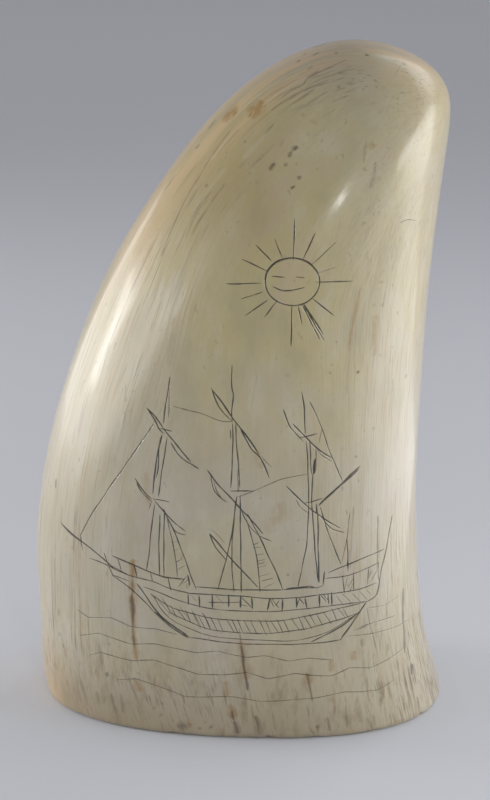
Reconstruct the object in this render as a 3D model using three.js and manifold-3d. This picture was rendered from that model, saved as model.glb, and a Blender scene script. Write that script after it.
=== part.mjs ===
// A sperm whale tooth, sawn flat at the root so that it stands, polished, and engraved on its
// front with a three-masted ship under a smiling sun. Millimetres, +Z up. The engraved face
// looks towards -Y and the tip leans towards +X. The origin is the middle of the sawn base.

import * as THREE from 'three';
import Module from 'manifold-3d';

const wasm = await Module();
wasm.setup();

// Outline seen from the front: control points of a smooth curve, from the left end of the base
// over the tip to the right end of the base.
const OUTLINE = [
  [-41.5, 0], [-43.25, 10], [-43.25, 25], [-43.25, 46], [-34.5, 78.5],
  [-21, 105.5], [-3.5, 129], [16.25, 141.5],
  [33.25, 139], [43.75, 131.5], [41.75, 119.5], [38.75, 93],
  [36.75, 57.5], [37, 22.5], [43.25, 0],
];
// Half depth of a section over its half width, in even steps from the tip to the base.
const DEPTH_RATIO = [0.84, 0.70, 0.64, 0.66, 0.68];
const SECTION_POWER = 2.3; // 2 is an ellipse, more is squarer
const RIGHT_SWELL = 0.1; // how much deeper the right side of a section is
const EDGE_BEVEL = 1.2; // worn edge round the base

const RINGS = 28; // from the tip to the base
const SIDES = 44; // round each ring
const EDGE_RING = 0.988; // one more ring, just above the bevel

// Pulp cavity: a curved cone, open at the base.
const CAVITY = { x: 0.75, lean: -3.5, halfWidth: 22, halfDepth: 13, height: 48, taper: 0.75 };
const CAVITY_RINGS = 8;
const CAVITY_SIDES = 24;
const CAVITY_START = -2; // the cutting solid begins below the base

// Engraved lines are cut as narrow V grooves.
const LINE_WIDTH = 0.7;
const BOLD_WIDTH = 1.0;
const WIDTH_TO_DEPTH = 0.5;
const CUT_CLEARANCE = 0.3; // how far a cutter stands out of the surface
const LONGEST_STEP = 5.5;
const JOIN_REACH = 0.02; // corners of the cut solid closer than this become one

// A point of a uniform cubic B-spline that passes through its first and last control values.
function spline(values, t) {
  const last = values.length - 1;
  const before = 2 * values[0] - values[1];
  const after = 2 * values[last] - values[last - 1];
  const padded = [before, ...values, after];
  const place = THREE.MathUtils.clamp(t, 0, 1) * last;
  const start = Math.min(Math.floor(place), last - 1);
  const u = place - start;
  const weights = [
    (1 - u) ** 3 / 6,
    (3 * u ** 3 - 6 * u ** 2 + 4) / 6,
    (-3 * u ** 3 + 3 * u ** 2 + 3 * u + 1) / 6,
    u ** 3 / 6,
  ];
  return weights.reduce((sum, weight, k) => sum + weight * padded[start + k], 0);
}

const OUTLINE_X = OUTLINE.map((point) => point[0]);
const OUTLINE_Z = OUTLINE.map((point) => point[1]);

// The section at `down`, 0 at the tip and 1 at the base, spans the outline from its left point
// to its right point, and bulges evenly to the front and the back.
function section(down) {
  const rightX = spline(OUTLINE_X, 0.5 + down / 2);
  const leftX = spline(OUTLINE_X, 0.5 - down / 2);
  const rightZ = spline(OUTLINE_Z, 0.5 + down / 2);
  const leftZ = spline(OUTLINE_Z, 0.5 - down / 2);
  const halfX = (rightX - leftX) / 2;
  const halfZ = (rightZ - leftZ) / 2;
  return {
    x: (leftX + rightX) / 2,
    z: (leftZ + rightZ) / 2,
    halfX,
    halfZ,
    halfY: Math.hypot(halfX, halfZ) * spline(DEPTH_RATIO, down),
  };
}

function rounded(value) {
  return Math.sign(value) * Math.abs(value) ** (2 / SECTION_POWER);
}

// A point of the outside at `down`, at an angle round the section (-90 degrees is the front).
function outsidePoint(down, angle) {
  const ring = section(down);
  const across = rounded(Math.cos(angle));
  const forward = rounded(Math.sin(angle));
  const point = new THREE.Vector3(
    ring.x + ring.halfX * across,
    ring.halfY * forward * (1 + RIGHT_SWELL * across),
    ring.z + ring.halfZ * across,
  );
  const inset = Math.max(0, EDGE_BEVEL - point.z);
  point.x -= inset * across;
  point.y -= inset * forward;
  return point;
}

// Turns closed rings of points, from one end to the other, into a solid with a point or a flat
// cap at each end.
function solidFromRings(rings, firstCap, lastCap) {
  const sides = rings[0].length;
  const points = [...rings.flat(), firstCap, lastCap];
  const triangles = [];
  for (let r = 0; r < rings.length - 1; r += 1) {
    for (let s = 0; s < sides; s += 1) {
      const next = (s + 1) % sides;
      const a = r * sides + s;
      const b = r * sides + next;
      const c = (r + 1) * sides + next;
      const d = (r + 1) * sides + s;
      triangles.push(a, d, c, a, c, b);
    }
  }
  const first = points.length - 2;
  const last = points.length - 1;
  const lastRing = (rings.length - 1) * sides;
  for (let s = 0; s < sides; s += 1) {
    const next = (s + 1) % sides;
    triangles.push(first, s, next);
    triangles.push(last, lastRing + next, lastRing + s);
  }
  const vertProperties = new Float32Array(points.flatMap((point) => point.toArray()));
  const triVerts = new Uint32Array(triangles);
  return new wasm.Manifold(new wasm.Mesh({ numProp: 3, vertProperties, triVerts }));
}

function ringOf(count, place) {
  return Array.from({ length: count }, (_, s) => place((2 * Math.PI * s) / count));
}

function toothBlank() {
  const downs = Array.from({ length: RINGS }, (_, r) => (r + 1) / RINGS);
  downs.splice(RINGS - 1, 0, EDGE_RING);
  const rings = downs.map((down) => ringOf(SIDES, (angle) => outsidePoint(down, angle)));
  const tip = outsidePoint(0, 0);
  const baseMiddle = new THREE.Vector3(CAVITY.x, 0, 0);
  return solidFromRings(rings, tip, baseMiddle);
}

function pulpCavity() {
  const rings = [];
  for (let r = 0; r < CAVITY_RINGS; r += 1) {
    const rise = r / CAVITY_RINGS;
    const height = CAVITY_START + rise * (CAVITY.height - CAVITY_START);
    const share = Math.max(0, height / CAVITY.height);
    const size = (1 - share) ** CAVITY.taper;
    const middle = CAVITY.x + CAVITY.lean * share;
    rings.unshift(ringOf(CAVITY_SIDES, (angle) => new THREE.Vector3(
      middle + CAVITY.halfWidth * size * Math.cos(angle),
      CAVITY.halfDepth * size * Math.sin(angle),
      height,
    )));
  }
  const top = new THREE.Vector3(CAVITY.x + CAVITY.lean, 0, CAVITY.height);
  const bottom = new THREE.Vector3(CAVITY.x, 0, CAVITY_START);
  return solidFromRings(rings, top, bottom);
}

// Finds the front of the tooth behind the point (x, z) of the front view, by better and better
// guesses that stay inside the outline.
function frontPoint(x, z) {
  const nudge = 1e-4;
  const guesses = 40;
  let down = 0.6;
  let across = 0;
  for (let guess = 0; guess < guesses; guess += 1) {
    const here = section(down);
    const there = section(down + nudge);
    const missX = here.x + here.halfX * across - x;
    const missZ = here.z + here.halfZ * across - z;
    const slopeX = (there.x + there.halfX * across - x - missX) / nudge;
    const slopeZ = (there.z + there.halfZ * across - z - missZ) / nudge;
    const scale = slopeX * here.halfZ - slopeZ * here.halfX;
    const moveDown = (missX * here.halfZ - missZ * here.halfX) / scale;
    const moveAcross = (slopeX * missZ - slopeZ * missX) / scale;
    down = THREE.MathUtils.clamp(down - moveDown, 0.02, 0.999);
    across = THREE.MathUtils.clamp(across - moveAcross, -0.99, 0.99);
  }
  const halfY = section(down).halfY;
  const forward = (1 - Math.abs(across) ** SECTION_POWER) ** (1 / SECTION_POWER);
  return new THREE.Vector3(x, -halfY * forward * (1 + RIGHT_SWELL * across), z);
}

function frontNormal(point) {
  const reach = 0.2;
  const alongX = frontPoint(point.x + reach, point.z).sub(point);
  const alongZ = frontPoint(point.x, point.z + reach).sub(point);
  return alongX.cross(alongZ).normalize();
}

// Strokes of the picture, as points of the front view: x to the right and z up.

// A bowed line from a to b that heads for the point `pull` on its way.
function bowed(a, pull, b) {
  const curve = new THREE.QuadraticBezierCurve(
    new THREE.Vector2(...a),
    new THREE.Vector2(...pull),
    new THREE.Vector2(...b),
  );
  const steps = Math.ceil(curve.getLength() / LONGEST_STEP);
  return curve.getPoints(steps).map((point) => point.toArray());
}

function straight(a, b) {
  return bowed(a, [(a[0] + b[0]) / 2, (a[1] + b[1]) / 2], b);
}

const SUN = { x: 10.1, z: 97.2, halfWidth: 5.3, halfHeight: 4.7 };
// The ring round the sun is cut in two halves, each running a little past its end.
const RING = { start: 0.1, halfTurn: 1.03 * Math.PI, stepsPerHalf: 8 };
// The face, measured from the middle of the sun.
const FACE = {
  eyes: [-2.7, 1.4], eyeRise: 0.9, eyeHalfWidth: 1.2,
  smile: [[-3.7, -0.9], [-0.4, -3], [2.4, -1]],
};
// Each ray: its direction in degrees and how far from the middle of the sun it ends.
const RAYS = [
  [89, 12], [65, 10.3], [42, 11.5], [18, 8.7], [-2, 11.7], [-41, 10.7], [-77, 8.7], [-91, 12.8],
  [-129, 8.8], [-143, 11.4], [-159, 10.7], [-175, 13], [158, 10.7], [136, 9.8], [113, 8.7],
];
const BOLD_RAY = [-62, 13.3];
const RAY_START = 1.03; // where a ray begins, in sun radii

function ray([degrees, reach]) {
  const angle = THREE.MathUtils.degToRad(degrees);
  const c = Math.cos(angle);
  const s = Math.sin(angle);
  return straight(
    [SUN.x + RAY_START * SUN.halfWidth * c, SUN.z + RAY_START * SUN.halfHeight * s],
    [SUN.x + reach * c, SUN.z + reach * s],
  );
}

function halfRing(start) {
  const points = [];
  for (let k = 0; k <= RING.stepsPerHalf; k += 1) {
    const angle = start + (RING.halfTurn * k) / RING.stepsPerHalf;
    points.push([SUN.x + SUN.halfWidth * Math.cos(angle), SUN.z + SUN.halfHeight * Math.sin(angle)]);
  }
  return points;
}

function sun() {
  const onSun = ([x, z]) => [SUN.x + x, SUN.z + z];
  const eyes = FACE.eyes.map((x) => straight(
    onSun([x - FACE.eyeHalfWidth, FACE.eyeRise]),
    onSun([x + FACE.eyeHalfWidth, FACE.eyeRise]),
  ));
  const smile = bowed(...FACE.smile.map(onSun));
  const ring = [halfRing(RING.start), halfRing(RING.start + Math.PI)];
  return [...ring, smile, ...eyes, ...RAYS.map(ray)];
}

// Each mast: its top, where the upper and lower yards cross it, its foot on deck, both ends of
// the two yards, and where the ropes ahead of it (x only) and behind it reach the deck.
const MASTS = [
  {
    top: [-14.1, 77.4], upper: [-15.6, 66.2], lower: [-17.3, 51.1], foot: [-16.4, 35.5],
    upperYard: [[-18.8, 70.6], [-8.4, 58.7]],
    lowerYard: [[-21.7, 56.2], [-11.1, 44.5]],
    stayFoot: -19.3,
    shroudFoot: [-9.1, 32.6],
  },
  {
    top: [-1.8, 80], upper: [-1.8, 69.2], lower: [-0.8, 51.2], foot: [0, 33],
    upperYard: [[-5.9, 75.4], [5.8, 57]],
    lowerYard: [[-6.8, 58.6], [6.3, 43.3]],
    stayFoot: -4.7,
    shroudFoot: [8.4, 32.9],
  },
  {
    top: [11.9, 75.1], upper: [12.9, 65.2], lower: [14.1, 50.2], foot: [15.9, 33.4],
    upperYard: [[8.4, 71.4], [18, 60.6]],
    lowerYard: [[9.1, 55.2], [21.1, 43.9]],
    stayFoot: 11.6,
    shroudFoot: [20.5, 36.9],
  },
];
const MAST_GAP = 1.1; // between the two lines of the middle of a mast
const YARD_CLEARANCE = 1; // from the crossings to the ends of those two lines
const LOWER_START = 1.5; // from the lower crossing down to the lower mast and the rope ahead
const LOWER_SHIFT = 0.8; // how far the lower mast stands right of the crossing
const SHROUD_SHIFT = 2; // from the lower crossing to the rope behind, right and down
const YARD_SAG = 1.2;

// A yard is drawn as a bow that sags down and to the left.
function yard([left, right]) {
  const middle = [(left[0] + right[0]) / 2 - YARD_SAG, (left[1] + right[1]) / 2 - YARD_SAG];
  return bowed(left, middle, right);
}

function mast(rig) {
  const strokes = [straight(rig.top, rig.upper)];
  for (const side of [-0.5, 0.5]) {
    const shift = side * MAST_GAP;
    strokes.push(straight(
      [rig.upper[0] + shift, rig.upper[1] - YARD_CLEARANCE],
      [rig.lower[0] + shift, rig.lower[1] + YARD_CLEARANCE],
    ));
  }
  const [x, z] = rig.lower;
  strokes.push(straight([x, z - LOWER_START], [rig.stayFoot, rig.foot[1]]));
  strokes.push(straight([x + LOWER_SHIFT, z - LOWER_START], rig.foot));
  strokes.push(straight([x + SHROUD_SHIFT, z - SHROUD_SHIFT], rig.shroudFoot));
  return strokes;
}

function yards() {
  return MASTS.flatMap((rig) => [yard(rig.upperYard), yard(rig.lowerYard)]);
}

// Stays and sails' spars that run between the masts.
function rigging() {
  return [
    straight([-16, 69.3], [-32.8, 41.3]),
    bowed([-13.9, 71.5], [-5, 68.8], [-1.1, 69.3]),
    bowed([0.3, 53.1], [6, 57], [13, 57.8]),
    bowed([13.4, 73.1], [17.9, 61.5], [20.3, 55.5]),
    straight([23.8, 57.6], [15.9, 50.6]),
    straight([-6.4, 45], [3.5, 33.5]),
  ];
}

// Hull: every line runs from the bow on the left to the stern on the right.
function hull() {
  const rail = bowed([-31.4, 37], [-17, 32.8], [-9.2, 31.4]);
  const sheer = bowed([-9.2, 31.4], [8, 30.4], [28.2, 31.3]);
  const deck = straight([-9.1, 32.8], [16.9, 32.8]);
  const foreRail = bowed([-26.4, 38.4], [-18, 35], [-11.5, 34.6]);
  const sternRails = [
    bowed([17.7, 35.8], [23, 36.5], [29, 38.4]),
    bowed([17.2, 34.5], [22, 34.8], [28.2, 35.8]),
  ];
  const planks = [
    bowed([-19.7, 32], [-9, 26.8], [24.6, 28.2]),
    bowed([-16.7, 30], [-6, 24], [25.6, 28]),
    bowed([-16.1, 27.7], [-3, 20.6], [24, 26.1]),
  ];
  const keel = bowed([-10.7, 21.9], [4, 20], [20.6, 20.7]);
  const stem = straight([-26.4, 34.1], [-10.7, 21.9]);
  const stern = bowed([31.6, 47.2], [29.5, 35.8], [25.6, 28]);
  return [rail, sheer, deck, foreRail, ...sternRails, ...planks, keel, stem, stern];
}

function bowspritAndRudder() {
  return [
    straight([-37.3, 42.9], [-26.6, 35.6]),
    straight([25.6, 28], [20.6, 20.7]),
  ];
}

// Gun ports: a row of small frames between the sheer and the first plank.
const PORTS = { first: -9.6, spacing: 5.4, count: 6, width: 2.6, low: 28.7, high: 30.3 };

function gunPorts() {
  const strokes = [];
  for (let k = 0; k < PORTS.count; k += 1) {
    const left = PORTS.first + k * PORTS.spacing - PORTS.width / 2;
    for (const x of [left, left + PORTS.width]) {
      strokes.push(straight([x, PORTS.low], [x, PORTS.high]));
    }
  }
  return strokes;
}

// Each line of waves: both ends and how many swells it has between them.
const WAVES = [
  { from: [-34.2, 24.3], to: [-13.1, 22.9], swells: 2 },
  { from: [20.6, 21], to: [32.3, 21.1], swells: 1 },
  { from: [22.4, 23.6], to: [30.9, 23.7], swells: 1 },
  { from: [24.9, 26.3], to: [32.7, 27.4], swells: 1 },
  { from: [-33.3, 19.7], to: [18.8, 16.7], swells: 5 },
  { from: [-31.7, 15.3], to: [34, 14.8], swells: 6 },
  { from: [-26.4, 10.5], to: [32.3, 9.6], swells: 4 },
];
const SWELL_HEIGHT = 0.5;
const STEPS_PER_SWELL = 4;

function wave({ from, to, swells }) {
  const steps = swells * STEPS_PER_SWELL;
  const points = [];
  for (let k = 0; k <= steps; k += 1) {
    const share = k / steps;
    const rise = SWELL_HEIGHT * Math.sin(2 * Math.PI * swells * share);
    points.push([
      THREE.MathUtils.lerp(from[0], to[0], share),
      THREE.MathUtils.lerp(from[1], to[1], share) + rise,
    ]);
  }
  return points;
}

// A groove cutter: a three-cornered bar that follows a stroke over the front of the tooth, with
// one corner below the surface.
function grooveCutter(stroke, width) {
  const depth = width * WIDTH_TO_DEPTH;
  const spread = (width / 2) * (1 + CUT_CLEARANCE / depth);
  const path = stroke.map(([x, z]) => frontPoint(x, z));
  const rings = path.map((point, k) => {
    const before = path[Math.max(0, k - 1)];
    const after = path[Math.min(path.length - 1, k + 1)];
    const along = after.clone().sub(before).normalize();
    const out = frontNormal(point);
    const sideways = along.clone().cross(out).normalize();
    const raised = point.clone().addScaledVector(out, CUT_CLEARANCE);
    return [
      raised.clone().addScaledVector(sideways, -spread),
      point.clone().addScaledVector(out, -depth),
      raised.clone().addScaledVector(sideways, spread),
    ];
  });
  const middleOf = (ring) => ring[0].clone().add(ring[1]).add(ring[2]).divideScalar(3);
  return solidFromRings(rings, middleOf(rings[0]), middleOf(rings[rings.length - 1]));
}

function engrave(blank) {
  const fine = [
    ...sun(),
    ...MASTS.flatMap(mast),
    ...rigging(),
    ...hull(),
    ...gunPorts(),
    ...WAVES.map(wave),
  ];
  const bold = [ray(BOLD_RAY), ...yards(), ...bowspritAndRudder()];
  let tooth = blank;
  for (const stroke of fine) {
    tooth = tooth.subtract(grooveCutter(stroke, LINE_WIDTH));
  }
  for (const stroke of bold) {
    tooth = tooth.subtract(grooveCutter(stroke, BOLD_WIDTH));
  }
  return tooth;
}

// Crossing grooves leave corners almost on top of each other. The ends of every edge shorter
// than JOIN_REACH become one corner, and triangles that shrink to an edge are left out.
function geometryOf(solid) {
  const { vertProperties, triVerts } = solid.getMesh();
  const corner = (index) => new THREE.Vector3().fromArray(vertProperties, 3 * index);
  const joined = Array.from({ length: vertProperties.length / 3 }, (_, index) => index);
  const keptCorner = (index) => {
    let kept = index;
    while (joined[kept] !== kept) {
      kept = joined[kept];
    }
    return kept;
  };
  for (let t = 0; t < triVerts.length; t += 3) {
    for (let side = 0; side < 3; side += 1) {
      const a = keptCorner(triVerts[t + side]);
      const b = keptCorner(triVerts[t + ((side + 1) % 3)]);
      if (corner(a).distanceTo(corner(b)) < JOIN_REACH) {
        joined[Math.max(a, b)] = Math.min(a, b);
      }
    }
  }
  const triangles = [];
  for (let t = 0; t < triVerts.length; t += 3) {
    const [a, b, c] = [0, 1, 2].map((side) => keptCorner(triVerts[t + side]));
    if (a !== b && b !== c && c !== a) {
      triangles.push(a, b, c);
    }
  }
  const geometry = new THREE.BufferGeometry();
  geometry.setAttribute('position', new THREE.BufferAttribute(vertProperties, 3));
  geometry.setIndex(triangles);
  return geometry;
}

const ivory = new THREE.MeshStandardMaterial({ color: '#d8cda9', roughness: 0.35, metalness: 0 });

const blank = toothBlank().subtract(pulpCavity());
const tooth = new THREE.Mesh(geometryOf(engrave(blank)), ivory);
tooth.name = 'engraved_whale_tooth';
tooth.geometry.computeBoundingBox();
tooth.position.x = -tooth.geometry.boundingBox.getCenter(new THREE.Vector3()).x;

const part = new THREE.Group();
part.add(tooth);

export default part;
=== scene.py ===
# A polished sperm whale tooth, engraved with a three-masted ship under a smiling sun, standing
# on a pale studio floor. The tooth is described in millimetres in its own frame, and becomes
# metres when its mesh is made. The lamps and the backdrop are given in metres.

import math

import bpy
import numpy as np
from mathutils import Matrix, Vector
from mathutils.geometry import delaunay_2d_cdt


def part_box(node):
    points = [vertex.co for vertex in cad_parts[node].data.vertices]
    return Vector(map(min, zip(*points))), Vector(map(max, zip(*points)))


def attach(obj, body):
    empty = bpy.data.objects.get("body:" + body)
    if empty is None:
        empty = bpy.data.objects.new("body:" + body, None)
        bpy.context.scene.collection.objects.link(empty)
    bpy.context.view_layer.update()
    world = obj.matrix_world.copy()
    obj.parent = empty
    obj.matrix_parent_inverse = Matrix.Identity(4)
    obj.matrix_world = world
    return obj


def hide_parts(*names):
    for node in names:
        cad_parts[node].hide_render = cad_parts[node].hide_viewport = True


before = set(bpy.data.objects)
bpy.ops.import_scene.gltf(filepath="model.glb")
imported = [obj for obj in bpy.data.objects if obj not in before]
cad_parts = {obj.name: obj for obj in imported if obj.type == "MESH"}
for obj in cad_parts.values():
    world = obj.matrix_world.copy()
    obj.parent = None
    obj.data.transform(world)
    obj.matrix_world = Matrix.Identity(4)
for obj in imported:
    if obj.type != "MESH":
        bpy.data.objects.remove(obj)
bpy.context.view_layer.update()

MM = 0.001
NODE = "engraved_whale_tooth"

# The form, as the solid has it: outline control points seen from the front, from the left end
# of the base over the tip to the right end of the base, and the section's proportions.
OUTLINE = [
    (-41.5, 0), (-43.25, 10), (-43.25, 25), (-43.25, 46), (-34.5, 78.5),
    (-21, 105.5), (-3.5, 129), (16.25, 141.5),
    (33.25, 139), (43.75, 131.5), (41.75, 119.5), (38.75, 93),
    (36.75, 57.5), (37, 22.5), (43.25, 0),
]
DEPTH_RATIO = [0.84, 0.70, 0.64, 0.66, 0.68]
SECTION_POWER = 2.3
RIGHT_SWELL = 0.1
EDGE_RADIUS = 1.4
CAVITY = {"x": 0.75, "lean": -3.5, "half_width": 22, "half_depth": 13, "height": 48, "taper": 0.75}
MOUTH_ROUND = 0.8
# The fibres of the ivory meet at this place along the outline, at the right of the tip.
FIBRE_TIP = 0.66
# Near the root, below this height, they lean to the right on their way down.
ROOT_LEAN = 0.08
ROOT_LEAN_HEIGHT = 22
# How far the solid stands to the right of where the outline's numbers put it.
SHIFT_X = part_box(NODE)[0][0] / MM - min(x for x, z in OUTLINE)

# Mesh density. Rows are places down the tooth, 0 at the tip and 1 at the base.
SIDES = 144
TURNS = np.linspace(-np.pi, np.pi, SIDES + 1)
ROWS = 92
FIRST_ROW = 0.012
EDGE_ROWS = [0.9905, 0.994, 0.9965, 0.9985]
BASE_RINGS = 7
CAVITY_RINGS = 22
MOUTH_HEIGHTS = [0.15, 0.35, 0.6]
STROKE_STEP = 0.8
CURVE_STEPS = 12
CLEAR_OF_STROKES = 0.55
# Strokes reach no further round to the back than this.
LAST_STROKE_TURN = np.pi * 0.55
# Size of the unrolled surface that the triangulation works on.
UNROLLED_TURN = 36.0
UNROLLED_DOWN = 150.0
# How close two rows or turns have to be to be the same.
SAME = 1e-6


def spline(values, place):
    """Points of a uniform cubic B-spline through its first and last control values."""
    values = np.asarray(values, float)
    last = len(values) - 1
    before = 2 * values[0] - values[1]
    after = 2 * values[-1] - values[-2]
    padded = np.concatenate([[before], values, [after]])
    x = np.clip(place, 0, 1) * last
    start = np.minimum(x.astype(int), last - 1)
    u = x - start
    weights = (
        (1 - u) ** 3 / 6,
        (3 * u**3 - 6 * u**2 + 4) / 6,
        (-3 * u**3 + 3 * u**2 + 3 * u + 1) / 6,
        u**3 / 6,
    )
    return sum(weight * padded[start + k] for k, weight in enumerate(weights))


OUTLINE_X, OUTLINE_Z = np.array(OUTLINE, float).T


def section(down, tip=0.5):
    """Middle and half sizes of the section at `down`, 0 at the tip and 1 at the base."""
    right_x = spline(OUTLINE_X, tip + (1 - tip) * down)
    left_x = spline(OUTLINE_X, tip - tip * down)
    right_z = spline(OUTLINE_Z, tip + (1 - tip) * down)
    left_z = spline(OUTLINE_Z, tip - tip * down)
    half_x = (right_x - left_x) / 2
    half_z = (right_z - left_z) / 2
    half_y = np.hypot(half_x, half_z) * spline(DEPTH_RATIO, down)
    return (left_x + right_x) / 2, (left_z + right_z) / 2, half_x, half_z, half_y


def rounded(value, power=2 / SECTION_POWER):
    return np.sign(value) * np.abs(value) ** power


def surface(down, turn):
    """Points of the polished outside. turn is 0 at the front and grows towards the right."""
    middle_x, middle_z, half_x, half_z, half_y = section(down)
    across = rounded(np.sin(turn))
    forward = -rounded(np.cos(turn))
    x = middle_x + half_x * across
    y = half_y * forward * (1 + RIGHT_SWELL * across)
    z = middle_z + half_z * across
    below = np.clip(EDGE_RADIUS - z, 0, EDGE_RADIUS)
    inset = EDGE_RADIUS - np.sqrt(EDGE_RADIUS**2 - below**2)
    return np.stack([x - inset * across, y - inset * forward, z], axis=-1)


def surface_normal(down, turn):
    nudge = 1e-3
    low = np.clip(down - nudge, 0, 1)
    high = np.clip(down + nudge, 0, 1)
    along_turn = surface(down, turn + nudge) - surface(down, turn - nudge)
    along_down = surface(high, turn) - surface(low, turn)
    normal = np.cross(along_down, along_turn)
    return normal / np.linalg.norm(normal, axis=-1, keepdims=True)


def locate(x, z, tip=0.5):
    """down and across of the section through the points (x, z) of the front view."""
    nudge = 1e-4
    down = np.full(len(x), 0.6)
    across = np.zeros(len(x))
    for _ in range(40):
        middle_x, middle_z, half_x, half_z = section(down, tip)[:4]
        next_x, next_z, next_half_x, next_half_z = section(down + nudge, tip)[:4]
        miss_x = middle_x + half_x * across - x
        miss_z = middle_z + half_z * across - z
        slope_x = (next_x + next_half_x * across - x - miss_x) / nudge
        slope_z = (next_z + next_half_z * across - z - miss_z) / nudge
        scale = slope_x * half_z - slope_z * half_x
        move_down = (miss_x * half_z - miss_z * half_x) / scale
        move_across = (slope_x * miss_z - slope_z * miss_x) / scale
        down = np.clip(down - np.clip(move_down, -0.2, 0.2), 0.02, 0.9995)
        across = np.clip(across - np.clip(move_across, -0.4, 0.4), -0.995, 0.995)
    return down, across


def locate_front(x, z):
    """down and turn of the front of the tooth behind the points (x, z) of the front view."""
    down, across = locate(x, z)
    return down, np.arcsin(rounded(across, SECTION_POWER / 2))


def along_fibres(points, down, turn):
    """Coordinates across, through and along the fibres, which run up and over to the right."""
    x, y, z = points.T
    along, across = locate(x, z, FIBRE_TIP)
    # Right of the left flank and below the tip they stand upright.
    upright = np.clip((x + 18) / 25, 0, 1) * np.clip((120 - z) / 30, 0, 1)
    across = across * (1 - upright) + x / 40 * upright
    across -= ROOT_LEAN * np.clip(1 - z / ROOT_LEAN_HEIGHT, 0, 1) ** 1.5
    near_tip = 1 - np.clip(down / 0.3, 0, 1)
    through_tooth = np.cos(turn) * (1 - near_tip) - y / 22 * near_tip
    return np.stack([across, through_tooth, along], axis=1)


# Strokes of the picture are drawn in the front view, x to the right and z up.

INK, STAIN, OCHRE = range(3)
# How deep a stroke of each kind is cut, as a share of its width. Stains are only colour.
DEPTH_PER_WIDTH = [0.4, 0, 0]
# How far it runs on past its ends, where it gets thin.
RUN_OUT = [0.45, 0.1, 0.1]
# How much wider a stain is than the part of it that is plain to see.
STAIN_SPREAD = 1.8
strokes = []


def lengths_along(points):
    steps = np.linalg.norm(np.diff(points, axis=0), axis=1)
    return np.concatenate([[0], np.cumsum(steps)])


def pairs(numbers):
    """Points from a row of numbers: x, z, x, z and so on."""
    return np.reshape(numbers, (-1, 2))


def sampled(points, run_out):
    """The same line with points an even step apart, and run_out longer at both ends."""
    points = np.asarray(points, float)
    ends = [points[0] - points[1], points[-1] - points[-2]]
    ends = [run_out * end / np.linalg.norm(end) for end in ends]
    points = np.vstack([points[0] + ends[0], points, points[-1] + ends[1]])
    lengths = lengths_along(points)
    count = max(4, math.ceil(lengths[-1] / STROKE_STEP) + 1)
    even = np.linspace(0, lengths[-1], count)
    return np.stack([np.interp(even, lengths, points[:, k]) for k in (0, 1)], axis=1)


def through(*points):
    """A smooth line through a few points. Two points make a straight one."""
    points = np.asarray(points, float)
    if len(points) == 2:
        return points
    ends = (2 * points[0] - points[1], 2 * points[-1] - points[-2])
    padded = np.vstack([ends[0], points, ends[1]])
    line = []
    for a, b, c, d in zip(padded, padded[1:], padded[2:], padded[3:]):
        for u in np.linspace(0, 1, CURVE_STEPS, endpoint=False):
            line.append(0.5 * (
                2 * b + (c - a) * u + (2 * a - 5 * b + 4 * c - d) * u**2
                + (3 * b - a - 3 * c + d) * u**3
            ))
    line.append(points[-1])
    return np.array(line)


def engrave(points, width=0.40, ink=0.9, kind=INK, wobble=0.04):
    """Adds a stroke with a slightly unsteady hand. Each stroke has its own unsteadiness."""
    line = sampled(points, RUN_OUT[kind])
    seed = 1.7 * len(strokes)
    along = lengths_along(line)
    fade = np.sin(np.pi * np.linspace(0, 1, len(line)))
    line[:, 0] += wobble * fade * np.sin(0.9 * along + seed)
    line[:, 1] += wobble * fade * np.sin(0.7 * along + 2.3 * seed)
    strokes.append({"line": line, "width": width, "ink": ink, "kind": kind, "seed": seed})


def engrave_all(marks, kind=INK, spread=1):
    """Adds smooth strokes given as width, strength, and x and z of each point."""
    for width, ink, *numbers in marks:
        engrave(through(*pairs(numbers)), spread * width, ink, kind)


# The sun.
SUN_MIDDLE = np.array([10.1, 97.2])
SUN_RADII = np.array([5.35, 4.7])
# Each ray: its direction in degrees, how far from the sun's middle it starts and ends, its ink.
RAYS = [
    (88, 4.3, 12.1, 1), (65, 5.1, 10.4, 0.9), (42, 5.2, 11.5, 0.55), (18, 4.9, 8.9, 0.45),
    (-1, 4.3, 11.9, 0.75), (-40, 5.4, 10.8, 0.9), (-77, 5.1, 8.7, 0.9), (-91, 4.6, 12.8, 0.95),
    (-128, 5.0, 8.8, 0.8), (-143, 6.0, 11.5, 0.8), (-160, 6.2, 10.7, 0.7), (-176, 6.0, 13, 0.85),
    (158, 5.0, 10.7, 0.8), (136, 5.7, 9.9, 0.95), (113, 5.0, 8.8, 0.9),
]


def at_angle(degrees, reach):
    angle = math.radians(degrees)
    return SUN_MIDDLE + reach * np.array([math.cos(angle), math.sin(angle)])


# The ray that was scratched several times: where each of its strokes ends.
BOLD_RAY = [(-60, 12.3), (-62, 13.4), (-65, 12.8)]
FACE = [
    (0.4, 0.9, 6.1, 98.2, 8.6, 98.1), (0.38, 0.85, 10.8, 98.1, 12.4, 98),
    (0.42, 0.9, 6.3, 96.2, 8, 95.5, 10, 95.5, 12.5, 96.1),
]


def sun():
    for scale, start, end, ink in ((1.0, 20, 395, 0.95), (0.97, 25, 190, 0.7)):
        angles = np.radians(np.linspace(start, end, 40))
        ring = np.stack([np.cos(angles), np.sin(angles)], axis=1) * SUN_RADII * scale
        engrave(SUN_MIDDLE + ring, 0.42, ink)
    for degrees, start, end, ink in RAYS:
        engrave(through(at_angle(degrees, start), at_angle(degrees, end)), 0.4, ink)
    for degrees, end in BOLD_RAY:
        engrave(through(at_angle(degrees - 2, 5), at_angle(degrees, end)), 0.42, 0.9)
    engrave_all(FACE)


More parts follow.
